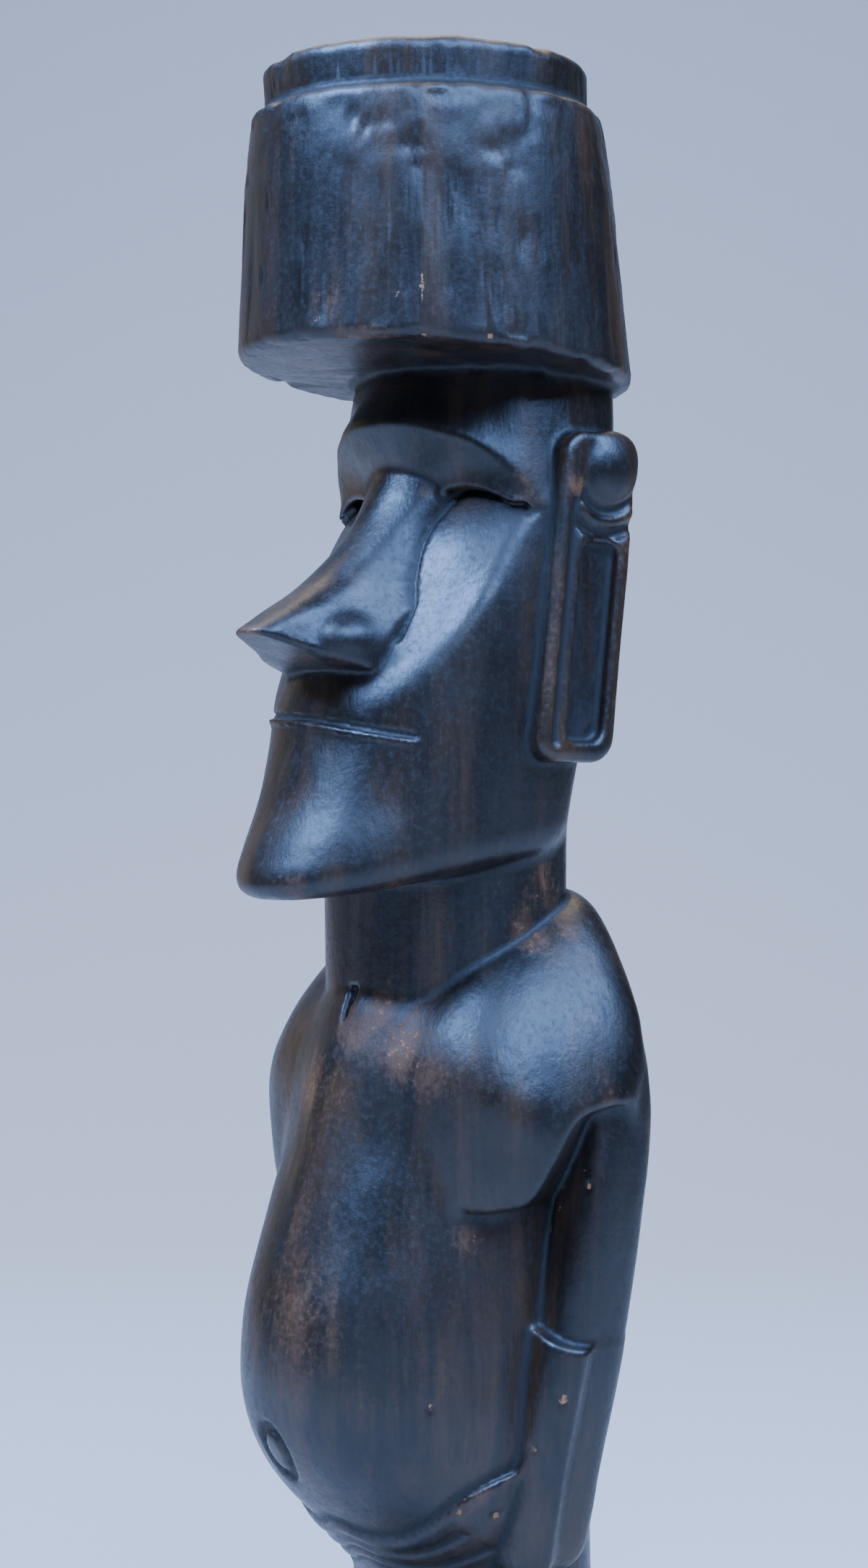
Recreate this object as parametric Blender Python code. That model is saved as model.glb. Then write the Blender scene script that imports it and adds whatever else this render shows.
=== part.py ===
"""Wooden moai statue: one carved solid. Sizes in millimetres here, metres in the scene.

The statue stands on its underside at z = 0, its axis on z, its face toward -y and its left side
toward +x. The whole carving is one distance formula built from the named sizes below: bodies are
joined and cut with fillets, and the surface where the distance is zero is then turned into a mesh.
"""

import bpy
import numpy as np

# Whole statue, in millimetres. The other lengths are those of the carving when its hat ends at HAT_TOP_Z.
HEIGHT = 435.0

# Hat: a leaning drum with a narrower tier on top, its underside tipped down at the front.
HAT_TOP_Z = 435.0
HAT_BOTTOM_Z = 357.0
HAT_STEP_Z = 421.0
HAT_BOTTOM_R = 48.8
HAT_TOP_R = 44.3
HAT_TIER_R = 40.0
HAT_LEAN = 0.04
HAT_TILT = 0.09
HAT_DOME = 0.0018
HAT_EDGE = 3.0

# Head block, as (height, size) stations: reach ahead of and behind its middle, half width, squareness.
HEAD_Y = 12.0
HEAD_LEAN = 0.11
HEAD_LEAN_Z = 330.0
HEAD_FRONT = [(225, 57), (240, 53.5), (250, 49.5), (262, 46.5), (280, 43.5), (300, 37), (312, 29), (325, 22),
              (335, 22), (350, 24.5), (370, 24)]
HEAD_BACK = [(225, 18), (250, 20), (290, 23), (345, 25.5), (370, 25)]
HEAD_HALF_WIDTH = [(225, 34), (250, 35.5), (280, 38), (310, 38.5), (340, 36.5), (370, 33)]
HEAD_SQUARENESS = [(225, 2.3), (270, 2.4), (320, 3.0), (370, 2.5)]
HEAD_BACK_SQUARENESS = 3.0
JAW_Z = 229.5
JAW_TILT = 0.17
JAW_EDGE = 9.0

# Face: a sloping cheek plane cut back under an arched brow.
CHEEK_Y = -13.0
CHEEK_Z = 326.0
CHEEK_SLOPE = 0.62
CHEEK_SWEEP = 0.45
CHEEK_BULGE = 2.6
CHEEK_BULGE_X = 23.0
CHEEK_BULGE_Z = 316.0
CHEEK_BULGE_REACH = 14.0
CHEEK_EDGE = 1.8
BROW_ARCH_Z = 327.0
BROW_ARCH_X = 20.0
BROW_ARCH_DROP = 0.03
BROW_ARCH_RISE = 0.25
BROW_Y = [(0, -21.5), (10, -20), (18, -16), (28, -9), (34, -2.5), (38, 4)]
BROW_Z = [(0, 344), (10, 343.5), (18, 341.5), (28, 337), (34, 331), (40, 321)]
BROW_UNDER = 0.62
BROW_ABOVE = 0.75
BROW_EDGE = 2.0
FACE_GROOVE_R = 1.3

# Nose: (height, y) down its front, and (height, half width) of that front face.
NOSE_FRONT = [(284, -70), (290, -62.5), (295, -54), (302, -41.5), (310, -31), (318, -23), (326, -18), (334, -15)]
NOSE_HALF_WIDTH = [(284, 3), (290, 4.2), (295, 6), (302, 7.4), (310, 8.2), (318, 9.3), (326, 12), (334, 15.5)]
NOSE_ROUND = 0.035
NOSE_FLARE = 0.42
NOSE_BASE_Z = 286.5
NOSE_BASE_TILT = 0.36
NOSE_BASE_Y = -45.0
NOSE_WING = (11.0, -35.0, 289.6)
NOSE_WING_R = (6.8, 9.4, 6.3)
NOSE_SCROLL_R = 1.1
NOSE_TOP_Z = 336.0

# Mouth: a fine slit, a little lower on the left, with a thin ledge under it.
MOUTH_Z = 271.4
MOUTH_DROOP = 0.0022
MOUTH_TILT = 0.10
MOUTH_HALF = 27.0
MOUTH_R = 0.9
LIP_R = 1.0
LIP_DROP = 1.5

# Ears: a leaning slab with a long sunk panel, a front line and a knob in two cups.
EAR_FRONT_Y = -2.5
EAR_BOTTOM_Z = 261.0
EAR_HEIGHT = 80.0
EAR_WIDTH = 24.0
EAR_LEAN = 0.12
EAR_CORNER = 6.0
EAR_OUT = 42.5
EAR_KNOB = (15.0, 71.5)
EAR_KNOB_R = 9.4
EAR_KNOB_OUT = 2.6
EAR_CUPS = (10.6, 16.2)
EAR_CUP_R = (1.5, 1.9)
EAR_PANEL_U = (7.8, 19.6)
EAR_PANEL_V = (4.8, 53.5)
EAR_PANEL_DEEP = 2.8
EAR_LINE_U = 4.6
EAR_LINE_R = 1.5

# Neck and the small notch under the throat.
NECK_Y = 8.0
NECK_HALF_WIDTH = 30.5
NECK_FRONT = 33.5
NECK_BACK = 17.0
NOTCH_TOP_Z = 206.5
NOTCH_BOTTOM_Z = 196.0
NOTCH_Y = -23.2
NOTCH_SPREAD = 0.18

# Chest, belly and the plain column under it, as (height, size) stations.
CHEST_Y = 6.0
CHEST_HALF_WIDTH = [(140, 50), (165, 55), (185, 57.5), (200, 57.5), (212, 54), (225, 47), (240, 40)]
CHEST_FRONT = [(140, 33), (165, 34.5), (185, 34), (200, 31.5), (212, 30), (225, 29), (240, 28)]
CHEST_BACK = [(140, 26), (165, 28), (185, 28), (200, 27), (212, 26), (225, 26), (240, 24)]
SHOULDER_Z = 219.0
SHOULDER_TILT = 0.60
SHOULDER_FALL = 0.030
SHOULDER_FALL_X = 22.0
SHOULDER_ROUND = 9.0
CHEST_LINE = [(0, 161), (12, 158), (26, 155.5), (38, 154.5), (50, 155), (59, 158), (65, 167), (70, 176),
              (76, 179), (90, 176)]
CHEST_BACK_Z = 138.0
BELLY_Y = 2.0
BELLY_TOP_Z = 205.0
BELLY_HALF_WIDTH = [(50, 12), (58, 18), (66, 24.5), (74, 30.5), (84, 36), (95, 39), (120, 40), (150, 38),
                    (180, 35), (210, 30)]
BELLY_FRONT = [(50, 6), (58, 14), (66, 21.5), (74, 29.5), (84, 39.5), (95, 47.5), (108, 51.8), (125, 51.5),
               (150, 44), (180, 33), (210, 26)]
BELLY_BACK = [(50, 10), (58, 16), (70, 22), (90, 26), (120, 28), (150, 29), (180, 28), (210, 24)]
COLUMN_Y = 12.5
COLUMN_HALF_WIDTH = [(0, 32), (16, 30.5), (40, 29.5), (60, 29), (130, 28)]
COLUMN_DEPTH = [(0, 32), (16, 30), (40, 29), (60, 28), (100, 26), (130, 19)]
COLUMN_TOP_Z = 130.0
NAVEL_X = -5.5
NAVEL_Z = 95.0
NAVEL_R = (4.8, 6.2)
NAVEL_GROOVE_R = 1.3

# Arms: stations of middle x, middle y and half sizes. Hands: their upper and lower edges by x.
ARM_X = [(60, 32), (85, 36.5), (109, 41), (127, 43.5), (150, 45.5), (175, 46), (200, 43)]
ARM_Y = [(60, 8), (85, 7), (109, 8), (127, 10.2), (150, 13), (175, 16.5), (200, 17)]
ARM_HALF_X = [(60, 6.5), (85, 7.2), (109, 7.8), (127, 8.2), (150, 8.6), (175, 8.2), (200, 8.5)]
ARM_HALF_Y = [(60, 9), (85, 10), (109, 11), (127, 10.5), (150, 10), (175, 9.5), (200, 9)]
ARM_TOP_Z = 200.0
ARM_BOTTOM_Z = 64.0
ELBOW_Z = 127.0
ELBOW_SLOPE = 0.35
FOREARM_STEP = 2.8
HAND_TOP = [(0, 76.5), (8, 74.5), (18, 75), (28, 80.5), (38, 91), (50, 105)]
HAND_BOTTOM = [(0, 62), (8, 59.5), (18, 58), (28, 60), (38, 69), (50, 81)]
HAND_PROUD = 1.5
FINGERS = 4
FINGER_GROOVE_R = 0.9
FINGER_REACH = 30.0

# Low base under the column.
BASE_Y = 7.5
BASE_R = 46.0
BASE_HEIGHT = 16.0
BASE_EDGE = 4.0

# How the carved surface is sampled.
BLOCK_REACH = 2.0
PINCH_ROUNDS = 12
CUBE_FACES = [(0, 1, 2, 3), (4, 5, 6, 7), (0, 1, 4, 5), (2, 3, 6, 7), (0, 2, 4, 6), (1, 3, 5, 7)]
RELAX_ROUNDS = 3
CELL = 1.5
TRIANGLES = 9200
FLAT_BELOW = 0.35
MM = 0.001
WOOD_COLOUR = (0.021, 0.016, 0.014, 1.0)
WOOD_ROUGHNESS = 0.38


def meet(a, b, fillet):
    """Nearer of two distances, with a fillet where they meet: two bodies joined."""
    h = np.maximum(fillet - np.abs(a - b), 0.0) / fillet
    return np.minimum(a, b) - h * h * fillet * 0.25


def cut(a, b, fillet):
    """Farther of two distances, with its edge rounded: what the two bodies share."""
    return -meet(-a, -b, fillet)


def ease(t):
    """Goes smoothly from 0 to 1 as t does, and stays level outside."""
    t = np.clip(t, 0.0, 1.0)
    return t * t * (3.0 - 2.0 * t)


def track(at, stations):
    """A smooth curve through (at, value) stations, level beyond both ends."""
    places = np.array([s[0] for s in stations], float)
    values = np.array([s[1] for s in stations], float)
    slopes = np.gradient(values, places)
    slopes[0] = 0.0
    slopes[-1] = 0.0
    at = np.clip(at, places[0], places[-1])
    i = np.clip(np.searchsorted(places, at, side="right") - 1, 0, len(places) - 2)
    span = places[i + 1] - places[i]
    t = (at - places[i]) / span
    rise = t * t * (3.0 - 2.0 * t)
    ends = t * (1.0 - t) * ((1.0 - t) * slopes[i] - t * slopes[i + 1]) * span
    return values[i] + (values[i + 1] - values[i]) * rise + ends


def oval(u, v, half_u, half_v, squareness):
    """Distance to |u / half_u|^n + |v / half_v|^n = 1, taken as value over slope."""
    a = np.abs(u) / half_u + 1e-6
    b = np.abs(v) / half_v + 1e-6
    total = a**squareness + b**squareness
    radius = total ** (1.0 / squareness)
    gain = total ** (1.0 / squareness - 1.0)
    slope = np.hypot(a ** (squareness - 1.0) / half_u, b ** (squareness - 1.0) / half_v) * gain
    return (radius - 1.0) / slope


def slab(ax, y, middle, half_width, front, back, front_square, back_square):
    """A cross section with its own reach and squareness ahead of and behind the middle."""
    ahead = y < middle
    reach = np.where(ahead, front, back)
    return oval(ax, y - middle, half_width, reach, np.where(ahead, front_square, back_square))


def egg(ax, y, z, centre, radii):
    """Distance to an ellipsoid, taken as value over slope."""
    a = (ax - centre[0]) / radii[0]
    b = (y - centre[1]) / radii[1]
    c = (z - centre[2]) / radii[2]
    value = np.sqrt(a * a + b * b + c * c) + 1e-9
    slope = np.sqrt((a / radii[0]) ** 2 + (b / radii[1]) ** 2 + (c / radii[2]) ** 2) + 1e-9
    return value * (value - 1.0) / slope


def rounded_box(u, v, low_u, high_u, low_v, high_v, corner):
    """Distance in the plane to a rectangle with round corners."""
    qu = np.abs(u - (low_u + high_u) / 2) - ((high_u - low_u) / 2 - corner)
    qv = np.abs(v - (low_v + high_v) / 2) - ((high_v - low_v) / 2 - corner)
    return np.hypot(np.maximum(qu, 0), np.maximum(qv, 0)) + np.minimum(np.maximum(qu, qv), 0) - corner


def hat(ax, y, z):
    """Tapered leaning drum, rolled in at the rim, with the tier standing on it."""
    radial = np.hypot(ax, y + HAT_LEAN * (z - HAT_BOTTOM_Z))
    taper = (HAT_BOTTOM_R - HAT_TOP_R) / (HAT_STEP_Z - HAT_BOTTOM_Z)
    drum = radial - (HAT_BOTTOM_R - taper * (z - HAT_BOTTOM_Z))
    roll = np.maximum(z - (HAT_STEP_Z - 22.0), 0.0) / 22.0
    drum = drum + 1.2 * roll * roll
    under = HAT_BOTTOM_Z - HAT_TILT * y - z
    body = cut(cut(drum, z - HAT_STEP_Z, HAT_EDGE), under, HAT_EDGE)
    tier = cut(radial - HAT_TIER_R, z - (HAT_TOP_Z - HAT_DOME * radial**2), HAT_EDGE)
    return meet(body, np.maximum(tier, HAT_STEP_Z - 8.0 - z), 1.5)


def head_block(ax, y, z):
    """The head before the face is cut: wide and shallow above, reaching far ahead at the chin."""
    middle = HEAD_Y + HEAD_LEAN * (z - HEAD_LEAN_Z)
    return slab(ax, y, middle, track(z, HEAD_HALF_WIDTH), track(z, HEAD_FRONT), track(z, HEAD_BACK),
                track(z, HEAD_SQUARENESS), HEAD_BACK_SQUARENESS)


def face(ax, y, z, block):
    """Head block with the brow added, the cheek plane cut and the nose standing on it."""
    y_brow = track(ax, BROW_Y)
    rise = z - track(ax, BROW_Z)
    brow = cut(y_brow + BROW_ABOVE * rise - y, y_brow - BROW_UNDER * rise - y, BROW_EDGE) * 0.75
    brow = cut(brow, ax - (track(z, HEAD_HALF_WIDTH) - 0.6), 3.0)
    full = meet(block, np.maximum(brow, y - HEAD_Y), 4.0)
    away = ((ax - CHEEK_BULGE_X) / CHEEK_BULGE_REACH) ** 2 + ((z - CHEEK_BULGE_Z) / CHEEK_BULGE_REACH) ** 2
    plane = CHEEK_Y - CHEEK_SLOPE * (CHEEK_Z - z) + CHEEK_SWEEP * ax - CHEEK_BULGE * np.exp(-away)
    behind = (plane - y) / np.sqrt(1.0 + CHEEK_SLOPE**2 + CHEEK_SWEEP**2)
    arch = BROW_ARCH_Z - BROW_ARCH_DROP * (ax - BROW_ARCH_X) ** 2 + BROW_ARCH_RISE * (y + 8.0)
    over = arch - z
    carved = cut(full, meet(behind, over, 1.0), CHEEK_EDGE)
    bridge = nose(ax, y, z)
    groove = np.hypot(behind, np.minimum(np.maximum(bridge, 0.0), np.maximum(over, 0.0))) - FACE_GROOVE_R
    groove = np.maximum(groove, np.maximum(NOSE_WING[2] - z, -1.0 - over))
    carved = cut(carved, -groove, 0.8)
    return carved, meet(carved, bridge, 0.8)


def nose(ax, y, z):
    """Broad concave front face, sides flaring back, tilted underside, and a scrolled wing."""
    front = track(z, NOSE_FRONT)
    ahead = (front + NOSE_ROUND * ax**2 - y) * 0.62
    width = track(z, NOSE_HALF_WIDTH) + NOSE_FLARE * np.maximum(y - front, 0.0)
    side = (ax - np.minimum(width, NOSE_WING[0] + NOSE_WING_R[0])) * 0.9
    below = NOSE_BASE_Z - NOSE_BASE_TILT * (y - NOSE_BASE_Y) - z
    body = cut(cut(ahead, side, 2.4), below, 1.6)
    body = np.maximum(body, np.maximum(z - NOSE_TOP_Z, y))
    wing = egg(ax, y, z, NOSE_WING, NOSE_WING_R)
    scroll = np.hypot(wing, body) - NOSE_SCROLL_R
    body = cut(body, -np.maximum(scroll, y - NOSE_WING[1]), 0.8)
    return meet(body, cut(wing, below, 2.0), 2.5)


def mouth(x, ax, y, z, head, bare):
    """A fine slit that droops to its corners, with a thin ledge under it."""
    line = MOUTH_Z - MOUTH_DROOP * x**2 - MOUTH_TILT * x
    end = np.maximum(ax - MOUTH_HALF, 0.0) + np.maximum(y - HEAD_Y, 0.0)
    lip = np.sqrt(bare**2 + (z - line + LIP_DROP) ** 2 + end**2) - LIP_R
    slit = np.sqrt(bare**2 + (z - line) ** 2 + end**2) - MOUTH_R
    return cut(meet(head, lip, 1.6), -slit, 0.8)


def ear(ax, y, z):
    """Slab on the side of the head, worked in its own leaning (u, v) sheet."""
    v = z - EAR_BOTTOM_Z
    u = y - (EAR_FRONT_Y + EAR_LEAN * v)
    out = ax - EAR_OUT
    plan = rounded_box(u, v, 0.0, EAR_WIDTH, 0.0, EAR_HEIGHT, EAR_CORNER)
    plate = cut(plan, out, 2.6)
    floor = -EAR_PANEL_DEEP - out
    panel = cut(rounded_box(u, v, *EAR_PANEL_U, *EAR_PANEL_V, 3.5), floor, 1.5)
    plate = cut(plate, -panel, 1.2)
    line = np.maximum(np.hypot(u - EAR_LINE_U, out - 0.3) - EAR_LINE_R, np.abs(v - 34.0) - 30.0)
    plate = cut(plate, -line, 1.0)
    ring = np.hypot(u - EAR_KNOB[0], v - EAR_KNOB[1])
    for radius, groove_r in zip(EAR_CUPS, EAR_CUP_R):
        groove = np.hypot(ring - radius, out - 0.2) - groove_r
        groove = np.maximum(groove, np.maximum(v - EAR_KNOB[1], EAR_LINE_U + EAR_LINE_R - u))
        plate = cut(plate, -groove, 0.8)
    middle = (EAR_OUT - 3.0, EAR_KNOB[0], EAR_KNOB[1])
    knob = egg(ax, u, v, middle, (3.0 + EAR_KNOB_OUT, EAR_KNOB_R, EAR_KNOB_R))
    return meet(plate, knob, 1.0)


def torso(x, ax, y, z):
    """Chest plate over a round belly, arms down the sides, hands meeting under the belly."""
    chest = slab(ax, y, CHEST_Y, track(z, CHEST_HALF_WIDTH), track(z, CHEST_FRONT),
                 track(z, CHEST_BACK), 2.3, 2.6) * 0.8
    top = z - (SHOULDER_Z + SHOULDER_TILT * y - SHOULDER_FALL * np.maximum(ax - SHOULDER_FALL_X, 0.0) ** 2)
    chest = cut(chest, top, SHOULDER_ROUND)
    line = track(ax + 0.6 * (y + 28.0), CHEST_LINE)
    rear = ease((y - 14.0) / 14.0)
    chest = cut(chest, (line + (CHEST_BACK_Z - line) * rear - z) * 0.5, 1.6 + 14.0 * rear)
    belly = slab(ax, y, BELLY_Y, track(z, BELLY_HALF_WIDTH), track(z, BELLY_FRONT),
                 track(z, BELLY_BACK), 2.2, 2.6) * 0.85
    belly = cut(belly, z - BELLY_TOP_Z, 8.0)
    body = meet(chest, belly, 2.0 + 12.0 * np.exp(-((ax / 15.0) ** 2)))
    body = meet(body, arm(ax, y, z), 1.6)
    body = meet(body, hand(ax, y, z, belly), 1.6)
    spread = np.hypot((x - NAVEL_X) / NAVEL_R[0], (z - NAVEL_Z) / NAVEL_R[1]) - 1.0
    ring = np.hypot(belly, spread * NAVEL_R[0]) - NAVEL_GROOVE_R
    body = cut(body, -np.maximum(ring, y), 0.8)
    column = slab(ax, y, COLUMN_Y, track(z, COLUMN_HALF_WIDTH), track(z, COLUMN_DEPTH),
                  track(z, COLUMN_DEPTH), 2.3, 2.3)
    return meet(body, np.maximum(column, z - COLUMN_TOP_Z), 3.0)


def arm(ax, y, z):
    """Flat-sided arm hanging from the shoulder, its forearm standing a step proud of it."""
    limb = oval(ax - track(z, ARM_X), y - track(z, ARM_Y), track(z, ARM_HALF_X), track(z, ARM_HALF_Y), 3.2)
    limb = cut(limb * 0.9, z - ARM_TOP_Z, 14.0)
    limb = cut(limb, ARM_BOTTOM_Z - z, 10.0)
    proud = FOREARM_STEP * np.clip((track(z, ARM_Y) - 2.0 - y) / 5.0, 0.0, 1.0)
    forearm = cut(limb - proud, z - (ELBOW_Z - ELBOW_SLOPE * (ax - 38.0)), 1.0)
    return meet(limb, forearm, 0.8)


def hand(ax, y, z, belly):
    """A raised band on the belly from wrist to middle, grooved into fingers."""
    high = track(ax, HAND_TOP)
    low = track(ax, HAND_BOTTOM)
    band = cut(cut(belly - HAND_PROUD, z - high, 2.0), low - z, 2.0)
    for k in range(1, FINGERS):
        between = high + (low - high) * 0.9 * k / FINGERS
        groove = np.hypot(belly - HAND_PROUD - 0.3, z - between) - FINGER_GROOVE_R
        groove = np.maximum(np.maximum(groove, ax - FINGER_REACH), y)
        band = cut(band, -groove, 0.8)
    return band


def statue(x, y, z):
    """Distance in mm from (x, y, z) to the carved surface, negative inside the wood."""
    ax = np.sqrt(x * x + 0.04)
    block = head_block(ax, y, z)
    bare, head = face(ax, y, z, block)
    head = mouth(x, ax, y, z, head, bare)
    head = cut(head, JAW_Z + JAW_TILT * (y + 40.0) - z, JAW_EDGE)
    head = cut(head, z - (HAT_BOTTOM_Z + 12.0), 1.0)
    head = meet(head, ear(ax, y, z), 1.0)
    neck = slab(ax, y, NECK_Y, NECK_HALF_WIDTH, NECK_FRONT, NECK_BACK, 2.2, 3.2)
    neck = np.maximum(neck, np.maximum(z - (JAW_Z + 25.0), SHOULDER_Z - 35.0 - z))
    body = meet(meet(head, neck, 2.0), torso(x, ax, y, z), 1.2)
    wedge = np.maximum(ax - NOTCH_SPREAD * (z - NOTCH_BOTTOM_Z), z - NOTCH_TOP_Z)
    body = cut(body, -np.maximum(wedge, y - (NOTCH_Y + 0.9 * ax)), 0.6)
    body = meet(body, hat(ax, y, z), 2.2)
    disc = cut(np.hypot(x, y - BASE_Y) - BASE_R, z - BASE_HEIGHT, BASE_EDGE)
    body = meet(body, disc, 5.0)
    return cut(body, -z, 1.0)


def near_blocks(field, low, counts, cell, coarse):
    """True for each block of cells whose middle lies close enough to the surface to be crossed by it."""
    step = cell * coarse
    middles = [low[k] + step * (np.arange(counts[k]) + 0.5) for k in range(3)]
    x, y, z = np.meshgrid(*middles, indexing="ij")
    return np.abs(field(x, y, z)) < step * BLOCK_REACH


def sample(field, low, high, cell, coarse=4):
    """Field values on the corners of the blocks near the surface, and where they are known."""
    counts = np.ceil((high - low) / (cell * coarse)).astype(int)
    blocks = np.argwhere(near_blocks(field, low, counts, cell, coarse)) * coarse
    known = np.zeros(counts * coarse + 1, bool)
    for offset in np.ndindex(coarse + 1, coarse + 1, coarse + 1):
        known[tuple((blocks + offset).T)] = True
    at = np.argwhere(known) * cell + low
    values = np.full(known.shape, np.inf)
    values[known] = np.concatenate([field(*part.T) for part in np.array_split(at, max(1, len(at) // 300000))])
    return values, known


def corners(grid):
    """The eight corner views of every cell of a grid, first corner first."""
    size = grid.shape
    return [grid[i:size[0] - 1 + i, j:size[1] - 1 + j, k:size[2] - 1 + k]
            for i in (0, 1) for j in (0, 1) for k in (0, 1)]


def fill_pinches(values, known, cell):
    """Fills corners where two bits of wood would touch along one edge or at one point only."""
    for _ in range(PINCH_ROUNDS):
        inside = values < 0
        fill = np.zeros_like(inside)
        here = corners(inside)
        mark = corners(fill)
        seen = np.logical_and.reduce(corners(known))
        for face in CUBE_FACES:
            a, b, c, d = (here[k] for k in face)
            crossed = seen & (a == d) & (b == c) & (a != b)
            for k in face:
                mark[k][crossed] = True
        total = sum(c.astype(np.int8) for c in here)
        for k in range(4):
            pair = seen & (here[k] == here[7 - k])
            lone = pair & (((total == 2) & here[k]) | ((total == 6) & ~here[k]))
            for spot in mark:
                spot[lone] = True
        fill &= known & ~inside
        if not fill.any():
            return
        values[fill] = -0.05 * cell


def surface(field, low, high, cell):
    """Closed quad skin of the field: one point a crossed cell, one quad a crossed grid edge."""
    values, known = sample(field, low, high, cell)
    fill_pinches(values, known, cell)
    inside = values < 0
    count = sum(c.astype(np.int8) for c in corners(inside))
    crossed = np.logical_and.reduce(corners(known)) & (count > 0) & (count < 8)
    number = np.full(crossed.shape, -1)
    number[crossed] = np.arange(crossed.sum())
    cells = np.argwhere(crossed)
    at_corner = [values[tuple((cells + offset).T)] for offset in np.ndindex(2, 2, 2)]
    total = np.zeros((len(cells), 3))
    hits = np.zeros((len(cells), 1))
    for first in range(8):
        for axis in range(3):
            second = first | (4 >> axis)
            if second == first:
                continue
            start = np.array([first >> 2 & 1, first >> 1 & 1, first & 1])
            a = at_corner[first]
            b = at_corner[second]
            hit = (a < 0) != (b < 0)
            share = np.where(hit, a / np.where(hit, a - b, 1.0), 0.0)
            place = np.tile(start.astype(float), (len(cells), 1))
            place[:, axis] += share
            total += place * hit[:, None]
            hits += hit[:, None]
    points = low + (cells + total / hits) * cell
    return largest_piece(points, skin(inside, known, number))


def skin(inside, known, number):
    """One quad round each grid edge that passes through the surface, facing out of the wood."""
    quads = []
    for axis in range(3):
        one, two = (axis + 1) % 3, (axis + 2) % 3
        start = tuple(slice(0, -1) if k == axis else slice(None) for k in range(3))
        end = tuple(slice(1, None) if k == axis else slice(None) for k in range(3))
        edges = np.argwhere((inside[start] != inside[end]) & known[start] & known[end])
        ring = []
        for back_one, back_two in ((1, 1), (0, 1), (0, 0), (1, 0)):
            at = edges.copy()
            at[:, one] -= back_one
            at[:, two] -= back_two
            ring.append(number[tuple(at.T)])
        ring = np.stack(ring, axis=1)
        turned = ~inside[tuple(edges.T)]
        ring[turned] = ring[turned, ::-1]
        quads.append(ring)
    quads = np.concatenate(quads)
    return quads[(quads >= 0).all(axis=1)]


def largest_piece(points, quads):
    """Drops any stray speck: only the piece with the most points is kept."""
    label = np.arange(len(points))
    while True:
        lowest = label.copy()
        for k in range(4):
            a = quads[:, k]
            b = quads[:, (k + 1) % 4]
            least = np.minimum(label[a], label[b])
            np.minimum.at(lowest, a, least)
            np.minimum.at(lowest, b, least)
        lowest = lowest[lowest]
        lowest = lowest[lowest]
        if (lowest == label).all():
            break
        label = lowest
    keep = label == np.bincount(label).argmax()
    number = np.cumsum(keep) - 1
    return points[keep], number[quads[keep[quads[:, 0]]]]


def relax(field, points, quads, cell):
    """Evens the points out along the skin, then slides each one back onto the surface."""
    for _ in range(RELAX_ROUNDS):
        total = np.zeros_like(points)
        count = np.zeros((len(points), 1))
        for k in range(4):
            a = quads[:, k]
            for b in (quads[:, (k + 1) % 4], quads[:, (k + 3) % 4]):
                for axis in range(3):
                    total[:, axis] += np.bincount(a, points[b, axis], len(points))
                count[:, 0] += np.bincount(a, minlength=len(points))
        points = points + 0.5 * (total / count - points)
        points = slide(field, points, cell)
    return points


def slide(field, points, cell):
    """One Newton step onto the zero of the field, never longer than half a cell."""
    step = 0.1 * cell
    here = field(*points.T)
    moved = points + step * np.eye(3)[:, None, :]
    slope = np.stack([(field(*at.T) - here) / step for at in moved], axis=1)
    steep = np.maximum((slope**2).sum(axis=1), 0.1)
    shift = -slope * (here / steep)[:, None]
    size = np.sqrt((shift**2).sum(axis=1, keepdims=True)) + 1e-12
    return points + shift * np.minimum(1.0, 0.5 * cell / size)


def field(x, y, z):
    """The carving's distance formula at the wanted height."""
    grow = HEIGHT / HAT_TOP_Z
    return statue(x / grow, y / grow, z / grow) * grow


def limits():
    """Corners of a box that holds the carving with room to spare."""
    grow = HEIGHT / HAT_TOP_Z
    widest = max(max(v for _, v in CHEST_HALF_WIDTH), HAT_BOTTOM_R, BASE_R, EAR_OUT + EAR_KNOB_R)
    ahead = max(-min(v for _, v in NOSE_FRONT), HAT_BOTTOM_R * 1.3, max(v for _, v in HEAD_FRONT))
    side = (widest + 8.0) * grow
    top = max(HAT_TOP_Z, HAT_STEP_Z) * grow + 6.0
    low = np.array([-side, -(ahead + 8.0) * grow, -4.0])
    return low, np.array([side, side, top])


def carved_object(name):
    """The closed mesh of the carving as a Blender object, thinned to the wanted triangle count."""
    low, high = limits()
    points, quads = surface(field, low, high, CELL)
    points = relax(field, points, quads, CELL)
    mesh = bpy.data.meshes.new(name + "_fine")
    mesh.from_pydata((points * MM).tolist(), [], quads.tolist())
    mesh.update()
    obj = bpy.data.objects.new(name, mesh)
    thin = obj.modifiers.new("thin", "DECIMATE")
    thin.ratio = TRIANGLES / (2.0 * len(quads))
    collection = bpy.data.collections.new(name)
    bpy.context.scene.collection.children.link(collection)
    collection.objects.link(obj)
    bpy.context.view_layer.update()
    graph = bpy.context.evaluated_depsgraph_get()
    obj.data = bpy.data.meshes.new_from_object(obj.evaluated_get(graph))
    obj.modifiers.clear()
    settle(obj.data)
    return obj


def settle(mesh):
    """Puts the underside exactly on z = 0."""
    at = np.empty(len(mesh.vertices) * 3)
    mesh.vertices.foreach_get("co", at)
    at = at.reshape(-1, 3)
    at[at[:, 2] < FLAT_BELOW * MM, 2] = 0.0
    mesh.vertices.foreach_set("co", at.ravel())
    mesh.update()


def stained_wood():
    """Dark stained, waxed hardwood in one plain colour."""
    material = bpy.data.materials.new("dark_stained_wood")
    material.use_nodes = True
    shader = material.node_tree.nodes["Principled BSDF"]
    shader.inputs["Base Color"].default_value = WOOD_COLOUR
    shader.inputs["Roughness"].default_value = WOOD_ROUGHNESS
    material.diffuse_color = WOOD_COLOUR
    return material


for old in list(bpy.data.objects):
    bpy.data.objects.remove(old)
moai = carved_object("moai_statue")
moai.data.materials.append(stained_wood())
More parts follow.
